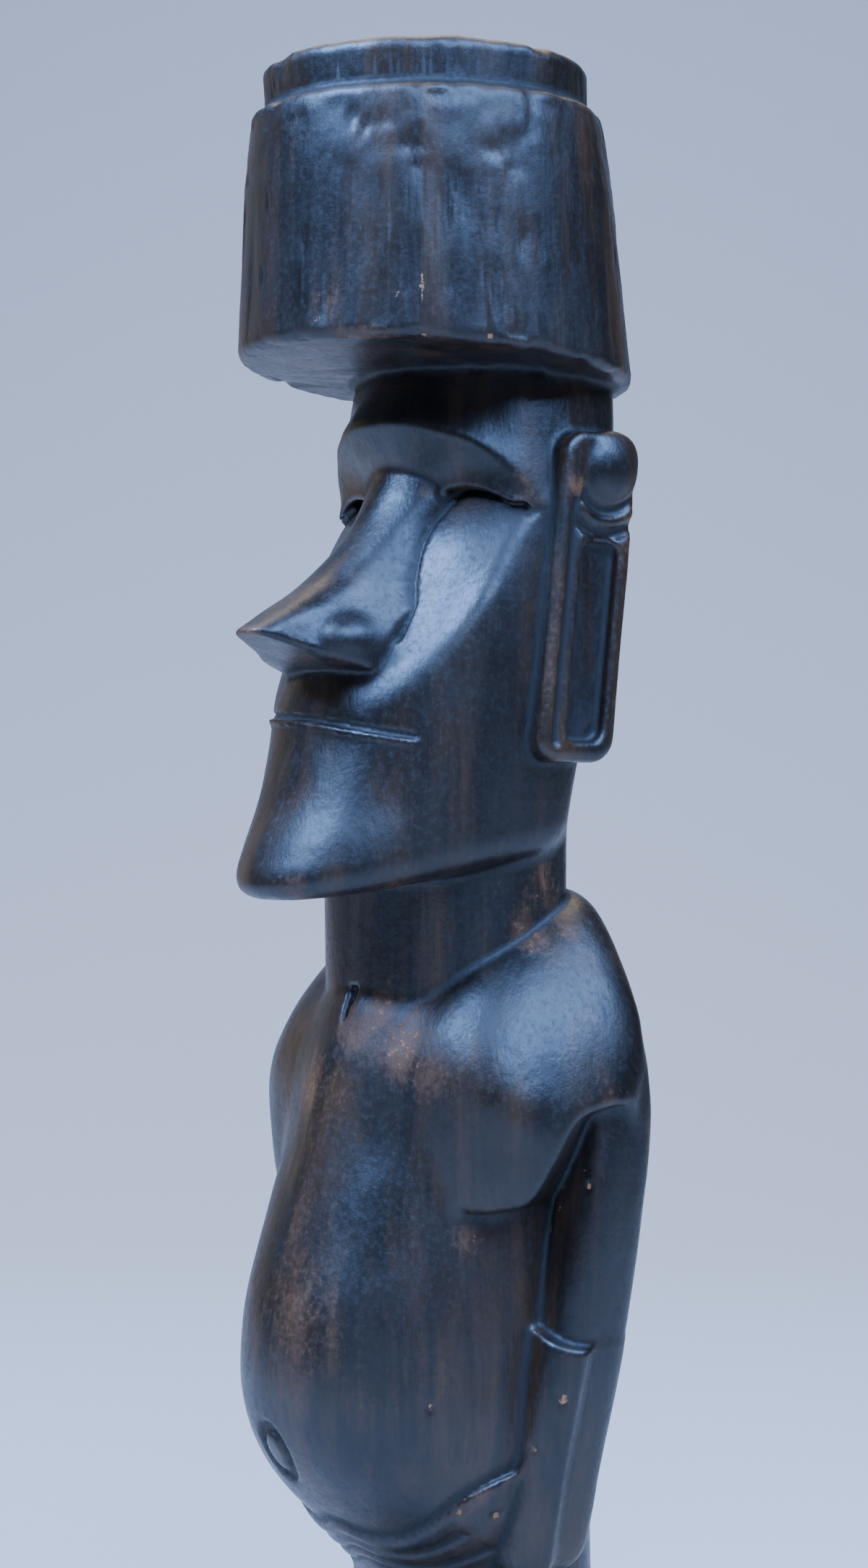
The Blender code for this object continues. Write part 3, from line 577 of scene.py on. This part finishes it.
def statue(x, y, z):
    """Distance in mm from (x, y, z) to the carved surface, negative inside the wood.

    Plain numbers that end a meet or a cut are fillets in mm. A factor under 1 on a distance keeps a
    slanting surface's value from growing faster than its true distance.
    """
    ax = np.sqrt(x * x + 0.04)
    block = head_block(ax, y, z)
    bare, head = face(ax, y, z, block)
    head = mouth(x, ax, y, z, head, bare)
    head = cut(head, JAW_Z + JAW_TILT * (y - JAW_TILT_Y) - z, JAW_EDGE)
    head = cut(head, z - (HAT_BOTTOM_Z + HEAD_INTO_HAT), 1.0)
    head = meet(head, ear(ax, y, z), 1.0)
    neck = slab(ax, y, NECK_Y, NECK_HALF_WIDTH, NECK_FRONT, NECK_BACK, 2.2, 3.2)
    ends = np.maximum(z - (JAW_Z + NECK_INTO_HEAD), SHOULDER_Z - NECK_INTO_BODY - z)
    neck = np.maximum(neck, ends)
    body = meet(meet(head, neck, 2.0), torso(x, ax, y, z), 1.2)
    wedge = np.maximum(ax - NOTCH_SPREAD * (z - NOTCH_BOTTOM_Z), z - NOTCH_TOP_Z)
    body = cut(body, -np.maximum(wedge, y - (NOTCH_Y + 0.9 * ax)), 0.6)
    body = meet(body, hat(ax, y, z), 2.2)
    disc = cut(np.hypot(x, y - BASE_Y) - BASE_R, z - BASE_HEIGHT, BASE_EDGE)
    body = meet(body, disc, 5.0)
    return cut(body, -z, 1.0)


def near_blocks(field, low, counts, cell, coarse):
    """True for each block of cells whose middle lies close enough to the surface to be crossed by it."""
    step = cell * coarse
    middles = [low[k] + step * (np.arange(counts[k]) + 0.5) for k in range(3)]
    x, y, z = np.meshgrid(*middles, indexing="ij")
    return np.abs(field(x, y, z)) < step * BLOCK_REACH


def sample(field, low, high, cell, coarse=4):
    """Field values on the corners of the blocks near the surface, and where they are known."""
    counts = np.ceil((high - low) / (cell * coarse)).astype(int)
    blocks = np.argwhere(near_blocks(field, low, counts, cell, coarse)) * coarse
    known = np.zeros(counts * coarse + 1, bool)
    for offset in np.ndindex(coarse + 1, coarse + 1, coarse + 1):
        known[tuple((blocks + offset).T)] = True
    at = np.argwhere(known) * cell + low
    values = np.full(known.shape, np.inf)
    shares = np.array_split(at, max(1, len(at) // SAMPLE_SHARE))
    values[known] = np.concatenate([field(*share.T) for share in shares])
    return values, known


def corners(grid):
    """The eight corner views of every cell of a grid, first corner first."""
    size = grid.shape
    return [grid[i:size[0] - 1 + i, j:size[1] - 1 + j, k:size[2] - 1 + k]
            for i in (0, 1) for j in (0, 1) for k in (0, 1)]


def fill_pinches(values, known, cell):
    """Fills corners where two bits of wood would touch along one edge or at one point only."""
    for _ in range(PINCH_ROUNDS):
        inside = values < 0
        fill = np.zeros_like(inside)
        here = corners(inside)
        mark = corners(fill)
        seen = np.logical_and.reduce(corners(known))
        for face in CUBE_FACES:
            a, b, c, d = (here[k] for k in face)
            crossed = seen & (a == d) & (b == c) & (a != b)
            for k in face:
                mark[k][crossed] = True
        total = sum(c.astype(np.int8) for c in here)
        for k in range(4):
            pair = seen & (here[k] == here[7 - k])
            lone = pair & (((total == 2) & here[k]) | ((total == 6) & ~here[k]))
            for spot in mark:
                spot[lone] = True
        fill &= known & ~inside
        if not fill.any():
            return
        values[fill] = -0.05 * cell


def surface(field, low, high, cell):
    """Closed quad skin of the field: one point a crossed cell, one quad a crossed grid edge."""
    values, known = sample(field, low, high, cell)
    fill_pinches(values, known, cell)
    inside = values < 0
    count = sum(c.astype(np.int8) for c in corners(inside))
    crossed = np.logical_and.reduce(corners(known)) & (count > 0) & (count < 8)
    number = np.full(crossed.shape, -1)
    number[crossed] = np.arange(crossed.sum())
    cells = np.argwhere(crossed)
    at_corner = [values[tuple((cells + offset).T)] for offset in np.ndindex(2, 2, 2)]
    total = np.zeros((len(cells), 3))
    hits = np.zeros((len(cells), 1))
    for first in range(8):
        for axis in range(3):
            second = first | (4 >> axis)
            if second == first:
                continue
            start = np.array([first >> 2 & 1, first >> 1 & 1, first & 1])
            a = at_corner[first]
            b = at_corner[second]
            hit = (a < 0) != (b < 0)
            share = np.where(hit, a / np.where(hit, a - b, 1.0), 0.0)
            place = np.tile(start.astype(float), (len(cells), 1))
            place[:, axis] += share
            total += place * hit[:, None]
            hits += hit[:, None]
    points = low + (cells + total / hits) * cell
    return largest_piece(points, skin(inside, known, number))


def skin(inside, known, number):
    """One quad round each grid edge that passes through the surface, facing out of the wood."""
    quads = []
    for axis in range(3):
        one, two = (axis + 1) % 3, (axis + 2) % 3
        start = tuple(slice(0, -1) if k == axis else slice(None) for k in range(3))
        end = tuple(slice(1, None) if k == axis else slice(None) for k in range(3))
        edges = np.argwhere((inside[start] != inside[end]) & known[start] & known[end])
        ring = []
        for back_one, back_two in ((1, 1), (0, 1), (0, 0), (1, 0)):
            at = edges.copy()
            at[:, one] -= back_one
            at[:, two] -= back_two
            ring.append(number[tuple(at.T)])
        ring = np.stack(ring, axis=1)
        turned = ~inside[tuple(edges.T)]
        ring[turned] = ring[turned, ::-1]
        quads.append(ring)
    quads = np.concatenate(quads)
    return quads[(quads >= 0).all(axis=1)]


def largest_piece(points, quads):
    """Drops any stray speck: only the piece with the most points is kept."""
    label = np.arange(len(points))
    while True:
        lowest = label.copy()
        for k in range(4):
            a = quads[:, k]
            b = quads[:, (k + 1) % 4]
            least = np.minimum(label[a], label[b])
            np.minimum.at(lowest, a, least)
            np.minimum.at(lowest, b, least)
        lowest = lowest[lowest]
        lowest = lowest[lowest]
        if (lowest == label).all():
            break
        label = lowest
    keep = label == np.bincount(label).argmax()
    number = np.cumsum(keep) - 1
    return points[keep], number[quads[keep[quads[:, 0]]]]


def relax(field, points, quads, cell):
    """Evens the points out along the skin, then slides each one back onto the surface."""
    for _ in range(RELAX_ROUNDS):
        total = np.zeros_like(points)
        count = np.zeros((len(points), 1))
        for k in range(4):
            a = quads[:, k]
            for b in (quads[:, (k + 1) % 4], quads[:, (k + 3) % 4]):
                for axis in range(3):
                    total[:, axis] += np.bincount(a, points[b, axis], len(points))
                count[:, 0] += np.bincount(a, minlength=len(points))
        points = points + 0.5 * (total / count - points)
        points = slide(field, points, cell)
    return points


def slide(field, points, cell):
    """One Newton step onto the zero of the field, never longer than half a cell."""
    step = 0.1 * cell
    here = field(*points.T)
    moved = points + step * np.eye(3)[:, None, :]
    slope = np.stack([(field(*at.T) - here) / step for at in moved], axis=1)
    steep = np.maximum((slope**2).sum(axis=1), 0.1)
    shift = -slope * (here / steep)[:, None]
    size = np.sqrt((shift**2).sum(axis=1, keepdims=True)) + 1e-12
    return points + shift * np.minimum(1.0, 0.5 * cell / size)


def lattice(i, j, k, seed):
    """A fixed pseudo-random value from 0 to 1 for each whole-number place."""
    mixed = (i * HASH[0] + j * HASH[1] + k * HASH[2] + seed * HASH[3]) & 0xFFFFFFFF
    mixed = ((mixed ^ (mixed >> 13)) * HASH[3]) & 0xFFFFFFFF
    return ((mixed ^ (mixed >> 16)) & 0xFFFF) / 65535.0


def noise(at, size, seed):
    """Smooth noise from -1 to 1: lattice values eased between the corners of cells of the given size."""
    place = at / np.asarray(size, float)
    whole = np.floor(place).astype(np.int64)
    t = ease(place - whole)
    total = 0.0
    for corner in np.ndindex(2, 2, 2):
        weight = np.where(corner, t, 1.0 - t).prod(axis=1)
        total = total + weight * lattice(*(whole + corner).T, seed)
    return 2.0 * total - 1.0


def slope_of(points, step):
    """Unit outward direction of the carving's surface, from central differences of the formula."""
    shift = step * np.eye(3)
    slope = np.stack([statue(*(points + d).T) - statue(*(points - d).T) for d in shift], axis=1)
    return slope / (np.sqrt((slope**2).sum(axis=1, keepdims=True)) + 1e-9)


def edginess(points, reach):
    """Bend of the surface, positive on edges and negative in grooves: the field's Laplacian."""
    shift = reach * np.eye(3)
    total = sum(statue(*(points + d).T) + statue(*(points - d).T) for d in shift)
    return (total - 6.0 * statue(*points.T)) / reach


def hat_share(points):
    """1 on the hat, 0 below it."""
    return ease((points[:, 2] - (HAT_BOTTOM_Z - 3.0 + HAT_TILT * -points[:, 1])) / 2.0)


def tool_marks(points):
    """Height in mm left by the tools: strips, dents and bumps on the hat, faint scraping elsewhere."""
    on_hat = hat_share(points)
    out = np.maximum(np.hypot(points[:, 0], points[:, 1]), WRAP_INSIDE_R)
    wrapped = points * np.stack([WRAP_R / out, WRAP_R / out, np.ones(len(points))], axis=1)
    strips = 0.38 * (np.abs(noise(wrapped, (12.0, 12.0, 40.0), 11)) - 0.35)
    bumps = 0.20 * noise(wrapped, (6.0, 6.0, 5.0), 12) + 0.13 * noise(wrapped, (2.4, 2.4, 2.2), 18)
    dents = ease((noise(wrapped, (6.5, 6.5, 2.8), 13) - 0.20) / 0.5)
    dents = -0.70 * dents * ease((noise(points, (16.0, 16.0, 16.0), 24) + 0.35) / 0.5)
    for middle, half_width, half_height, depth in DENTS:
        away = (points - middle) / np.array([half_width, half_width, half_height])
        dents = np.minimum(dents, -depth * np.exp(-(away**2).sum(axis=1)))
    wave = 0.22 * noise(points, (17.0, 17.0, 28.0), 15) + 0.10 * noise(points, (6.0, 6.0, 9.0), 16)
    low = ease((SCRAPE_BELOW_Z - points[:, 2]) / SCRAPE_FADE)
    scrape = 0.25 * (np.abs(noise(wrapped, (6.0, 6.0, 40.0), 17)) - 0.4)
    return on_hat * (strips + bumps + dents) + (1.0 - on_hat) * wave + low * scrape


def near(points, middle, reach):
    """1 at the middle, falling smoothly to 0 at the reach."""
    away = np.sqrt(((points - np.asarray(middle)) ** 2).sum(axis=1))
    return ease(1.0 - away / reach)


def chip_depth(points):
    """How far into a chip each point lies, 0 to 1, with ragged outlines."""
    deep = np.zeros(len(points))
    ragged = 0.75 + 0.35 * noise(points, (1.7, 1.7, 1.7), 21)
    for middle, radius in CHIPS:
        deep = np.maximum(deep, near(points, middle, radius * 1.9) * ragged)
    return np.clip(deep, 0.0, 1.0)


def rubbed(points, bend):
    """Wear from hands: the named places, and edges everywhere, broken up by noise."""
    worn = np.zeros(len(points))
    for middle, reach, strength in RUBBED:
        worn = np.maximum(worn, 1.15 * strength * near(points, middle, reach * 1.5))
    edges = ease((bend - 0.22) / 0.5)
    patchy = 0.5 + 0.5 * noise(points, (9.0, 9.0, 15.0), 31)
    return np.clip(worn * (0.55 + 0.6 * patchy) + 0.5 * edges * patchy, 0.0, 1.0)


def thin_mesh(mesh, ratio):
    """The mesh with its flattest places thinned to the given share of its triangles."""
    holder = bpy.data.objects.new("holder", mesh)
    bpy.context.scene.collection.objects.link(holder)
    thin = holder.modifiers.new("thin", "DECIMATE")
    thin.ratio = ratio
    bpy.context.view_layer.update()
    graph = bpy.context.evaluated_depsgraph_get()
    result = bpy.data.meshes.new_from_object(holder.evaluated_get(graph))
    bpy.data.objects.remove(holder)
    return result


def put_values(mesh, name, values):
    """Stores one number a vertex under a name that the material reads."""
    layer = mesh.attributes.new(name, "FLOAT", "POINT")
    layer.data.foreach_set("value", values.astype(np.float32))


def carve_statue():
    """The whole figure: zero of the distance formula, thinned, then moved outward by the tool marks."""
    points, quads = surface(statue, np.array(CARVE_LOW), np.array(CARVE_HIGH), CELL)
    points = relax(statue, points, quads, CELL)
    mesh = bpy.data.meshes.new("carving")
    mesh.from_pydata((points * MM).tolist(), [], quads.tolist())
    mesh.update()
    mesh = thin_mesh(mesh, min(1.0, MOST_TRIANGLES / (2.0 * len(quads))))
    points = np.empty(len(mesh.vertices) * 3)
    mesh.vertices.foreach_get("co", points)
    points = points.reshape(-1, 3) / MM
    bend = edginess(points, EDGE_REACH)
    chips = chip_depth(points)
    lift = tool_marks(points) - CHIP_DEPTH * chips
    lift = lift * ease((points[:, 2] - UNMARKED_BELOW_Z) / MARK_FADE)
    moved = points + slope_of(points, SLOPE_STEP) * lift[:, None]
    moved[points[:, 2] < FLAT_BELOW, 2] = 0.0
    mesh.vertices.foreach_set("co", (moved * MM).ravel())
    mesh.update()
    put_values(mesh, "rubbed", rubbed(points, bend))
    # How far each point lies in a groove or hollow: the material paints shade there and dulls the wax.
    put_values(mesh, "sunk", ease((-bend - 0.16) / 0.55))
    put_values(mesh, "chipped", chips)
    put_values(mesh, "hewn", hat_share(points))
    mesh.shade_smooth()
    mesh.name = "moai_carving"
    return mesh


def linear(hex_colour):
    """sRGB hex to the linear colour that shaders use."""
    parts = [int(hex_colour[i:i + 2], 16) / 255.0 for i in (1, 3, 5)]
    return tuple(c / 12.92 if c <= 0.04045 else ((c + 0.055) / 1.055) ** 2.4 for c in parts) + (1.0,)


def node(tree, kind, settings, inputs, output=0):
    """Adds one node with its settings, gives each input a value or a link, and returns one output."""
    made = tree.nodes.new(kind)
    for key, value in settings.items():
        setattr(made, key, value)
    for key, value in inputs.items():
        if isinstance(value, bpy.types.NodeSocket):
            tree.links.new(value, made.inputs[key])
        else:
            made.inputs[key].default_value = value
    return made.outputs[output]


def stained_hardwood():
    """Hardwood carved by hand, stained almost black and waxed.

    To the eye: a near black brown with the straight grain just showing, satin wax that takes broad soft
    reflections, redder wood where hands have rubbed, pale flecks where it has chipped, and dull hollows
    darkened by painted shade.
    """
    material = bpy.data.materials.new("stained_waxed_hardwood")
    material.use_nodes = True
    tree = material.node_tree
    shader = tree.nodes["Principled BSDF"]
    smooth = {"interpolation_type": "SMOOTHSTEP"}
    times = {"operation": "MULTIPLY"}
    plus = {"operation": "ADD"}
    colours = {"data_type": "RGBA"}
    place = node(tree, "ShaderNodeTexCoord", {}, {}, "Object")
    rub, sunk, chipped, hewn = [node(tree, "ShaderNodeAttribute", {"attribute_name": name}, {}, "Fac")
                                for name in ("rubbed", "sunk", "chipped", "hewn")]

    # The grain runs up the statue: soft bands about 12 mm wide, fibres 0.7 mm wide and 13 times as long.
    # Clouds of stain are about 25 mm across, and specks in the wax 1.5 mm.
    along = node(tree, "ShaderNodeMapping", {}, {"Vector": place, "Scale": (1.0, 1.0, 0.075),
                                                 "Rotation": (0.05, 0.04, 0.0)})
    bands = node(tree, "ShaderNodeTexNoise", {}, {"Vector": along, "Scale": 80.0, "Detail": 6.0,
                                                  "Roughness": 0.62, "Distortion": 0.25})
    fibres = node(tree, "ShaderNodeTexNoise", {}, {"Vector": along, "Scale": 1400.0, "Detail": 3.0,
                                                   "Roughness": 0.6})
    clouds = node(tree, "ShaderNodeTexNoise", {}, {"Vector": place, "Scale": 40.0, "Detail": 5.0,
                                                   "Roughness": 0.62})
    specks = node(tree, "ShaderNodeTexNoise", {}, {"Vector": place, "Scale": 650.0, "Detail": 3.0,
                                                   "Roughness": 0.7})

    band = node(tree, "ShaderNodeMapRange", smooth, {"Value": bands, "From Min": 0.42, "From Max": 0.72})
    stain = node(tree, "ShaderNodeMix", colours, {0: band, 6: linear(STAIN), 7: linear(GRAIN)}, 2)
    cloud = node(tree, "ShaderNodeMapRange", smooth, {"Value": clouds, "From Min": 0.46, "From Max": 0.72})
    stain = node(tree, "ShaderNodeMix", colours, {0: cloud, 6: stain, 7: linear(CLOUD)}, 2)
    fibre = node(tree, "ShaderNodeMapRange", smooth, {"Value": fibres, "From Min": 0.52, "From Max": 0.75,
                                                      "To Max": 0.5})
    stain = node(tree, "ShaderNodeMix", colours, {0: fibre, 6: stain, 7: linear(PORE)}, 2)

    # Rubbed places break up along the grain, with small brighter flecks in the middle of them.
    broken = node(tree, "ShaderNodeMath", {"operation": "MULTIPLY_ADD"}, {0: specks, 1: 0.6, 2: bands})
    red = node(tree, "ShaderNodeMath", {"operation": "MULTIPLY_ADD"}, {0: rub, 1: 0.8, 2: broken})
    red = node(tree, "ShaderNodeMapRange", smooth, {"Value": red, "From Min": 1.02, "From Max": 1.66,
                                                    "To Max": 0.72})
    worn = node(tree, "ShaderNodeMix", colours, {0: red, 6: stain, 7: linear(RUBBED_WOOD)}, 2)
    fleck = node(tree, "ShaderNodeMath", {"operation": "MULTIPLY_ADD"}, {0: rub, 1: 0.26, 2: specks})
    fleck = node(tree, "ShaderNodeMapRange", smooth, {"Value": fleck, "From Min": 0.80, "From Max": 0.90,
                                                      "To Max": 0.75})
    worn = node(tree, "ShaderNodeMix", colours, {0: fleck, 6: worn, 7: linear(FLECK)}, 2)
    ragged = node(tree, "ShaderNodeMath", {"operation": "MULTIPLY_ADD"}, {0: specks, 1: 1.1, 2: chipped})
    chip = node(tree, "ShaderNodeMapRange", smooth, {"Value": ragged, "From Min": 1.04, "From Max": 1.18})
    worn = node(tree, "ShaderNodeMix", colours, {0: chip, 6: worn, 7: linear(BARE_WOOD)}, 2)
    # Painted shade: grooves and hollows are darkened towards near black by how sunk they are.
    painted_hollow_shade = node(tree, "ShaderNodeMath", times, {0: sunk, 1: 0.85})
    colour = node(tree, "ShaderNodeMix", colours, {0: painted_hollow_shade, 6: worn, 7: linear(HOLLOW_SHADE)}, 2)

    # The wax lies unevenly: glossier clouds, duller specks, dull where rubbed, hewn, sunk or chipped.
    rough = node(tree, "ShaderNodeMapRange", smooth, {"Value": clouds, "From Min": 0.32, "From Max": 0.70,
                                                      "To Min": 0.33, "To Max": 0.45})
    speck = node(tree, "ShaderNodeMapRange", smooth, {"Value": specks, "From Min": 0.45, "From Max": 0.72,
                                                      "To Max": 0.14})
    rough = node(tree, "ShaderNodeMath", plus, {0: rough, 1: speck})
    for share, dull in ((red, 0.16), (hewn, 0.05), (sunk, 0.25), (chip, 0.30)):
        rough = node(tree, "ShaderNodeMath", {"operation": "MULTIPLY_ADD"}, {0: share, 1: dull, 2: rough})

    # Relief too fine for the mesh: fibres, specks, and scraper marks about 4 mm wide.
    taller = node(tree, "ShaderNodeMapping", {}, {"Vector": place, "Scale": (1.0, 1.0, 0.6)})
    marks = node(tree, "ShaderNodeTexNoise", {}, {"Vector": taller, "Scale": 240.0, "Detail": 2.0,
                                                  "Roughness": 0.5})
    height = node(tree, "ShaderNodeMath", times, {0: fibres, 1: 0.22})
    for layer, share in ((marks, 0.7), (specks, 0.28), (bands, 0.25), (chip, -0.8)):
        height = node(tree, "ShaderNodeMath", {"operation": "MULTIPLY_ADD"}, {0: layer, 1: share, 2: height})
    bump = node(tree, "ShaderNodeBump", {}, {"Height": height, "Strength": 0.4, "Distance": 0.0007})

    tree.links.new(colour, shader.inputs["Base Color"])
    tree.links.new(rough, shader.inputs["Roughness"])
    tree.links.new(bump, shader.inputs["Normal"])
    shader.inputs["IOR"].default_value = 1.5
    shader.inputs["Coat Weight"].default_value = 0.1
    shader.inputs["Coat Roughness"].default_value = 0.3
    return material


def painted_board():
    """Matt white painted board: even, pale and without shine."""
    material = bpy.data.materials.new("matt_white_board")
    material.use_nodes = True
    shader = material.node_tree.nodes["Principled BSDF"]
    shader.inputs["Base Color"].default_value = linear(BOARD_COLOUR)
    shader.inputs["Roughness"].default_value = 0.9
    return material


def lay_board(name, ahead, up, half_width):
    """A sheet of board: the profile (ahead, up), turned to the view and carried straight across."""
    turn = math.radians(VIEW_TURN)
    away = np.array([-math.sin(turn), math.cos(turn), 0.0])
    across = np.array([math.cos(turn), math.sin(turn), 0.0])
    side = np.array([-half_width, half_width])
    points = ahead[:, None, None] * away + side[None, :, None] * across
    points = points + up[:, None, None] * np.array([0.0, 0.0, 1.0])
    k = 2 * np.arange(len(ahead) - 1)
    quads = np.stack([k, k + 1, k + 3, k + 2], axis=1)
    mesh = bpy.data.meshes.new(name)
    mesh.from_pydata(points.reshape(-1, 3).tolist(), [], quads.tolist())
    mesh.shade_smooth()
    mesh.materials.append(painted_board())
    board = bpy.data.objects.new(name, mesh)
    bpy.context.scene.collection.objects.link(board)


def aim(obj, target):
    """Turns a light or camera to face the target."""
    from_here = np.asarray(target) - np.asarray(obj.location)
    flat = math.hypot(from_here[0], from_here[1])
    obj.rotation_euler = (math.atan2(flat, -from_here[2]), 0.0, math.atan2(-from_here[0], from_here[1]))


def panel_light(name, azimuth, elevation, distance, size, power, colour):
    """A soft rectangular panel of light, placed by its direction from the middle of the picture."""
    data = bpy.data.lights.new(name, "AREA")
    data.shape = "RECTANGLE"
    data.size = size[0]
    data.size_y = size[1]
    data.energy = power
    data.color = linear(colour)[:3]
    lamp = bpy.data.objects.new(name, data)
    turn = math.radians(azimuth)
    rise = math.radians(elevation)
    lamp.location = (distance * math.cos(rise) * math.sin(turn),
                     -distance * math.cos(rise) * math.cos(turn),
                     EYE_Z + distance * math.sin(rise))
    bpy.context.scene.collection.objects.link(lamp)
    aim(lamp, (0.0, 0.0, EYE_Z))


def set_camera():
    """Level view of the figure's left front, at the photograph's angle and frame."""
    data = bpy.data.cameras.new("camera")
    data.lens = 0.5 * SENSOR / math.tan(math.radians(FRAME_ANGLE / 2.0))
    data.sensor_width = SENSOR
    camera = bpy.data.objects.new("camera", data)
    turn = math.radians(VIEW_TURN)
    camera.location = (EYE_DISTANCE * math.sin(turn), -EYE_DISTANCE * math.cos(turn), EYE_Z)
    bpy.context.scene.collection.objects.link(camera)
    aim(camera, (0.0, 0.0, EYE_Z))
    bpy.context.scene.camera = camera


def set_world():
    """Dim, even surroundings, so that the panels shape the wood."""
    world = bpy.data.worlds.new("pale_room")
    world.use_nodes = True
    back = world.node_tree.nodes["Background"]
    back.inputs["Color"].default_value = linear(SURROUND)
    back.inputs["Strength"].default_value = SURROUND_STRENGTH
    bpy.context.scene.world = world


moai = bpy.data.objects.new("moai_statue_carved", carve_statue())
bpy.context.scene.collection.objects.link(moai)
moai.data.materials.clear()
moai.data.materials.append(stained_hardwood())
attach(moai, "root")
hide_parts("moai_statue")

floor_z = np.full(2, -BOARD) - STAND_GAP
lay_board("floor", np.array([-FLOOR_REACH, FLOOR_REACH]), floor_z, FLOOR_REACH)
sweep = np.linspace(0.0, 0.5 * np.pi, 25)
along = WALL_NEAR + np.concatenate([[-WALL_OVERLAP], WALL_BEND * np.sin(sweep), [WALL_BEND]])
rise = np.concatenate([[0.0], WALL_BEND * (1.0 - np.cos(sweep)), [WALL_TOP]]) - STAND_GAP
lay_board("backdrop", along, rise, WALL_HALF_WIDTH)
set_world()
set_camera()
panel_light("window", -20.0, 51.0, 1.5, (0.85, 0.75), 92.0, "#8bb4fb")
panel_light("low_left", -84.0, 0.0, 1.6, (0.6, 1.5), 1.8, "#f5e0c6")
panel_light("above_shoulder", 88.0, 50.0, 1.5, (1.8, 0.8), 96.0, "#8bb4fb")
panel_light("backdrop", -130.0, 66.0, 2.0, (1.6, 1.6), 34.0, "#ffe9cc")
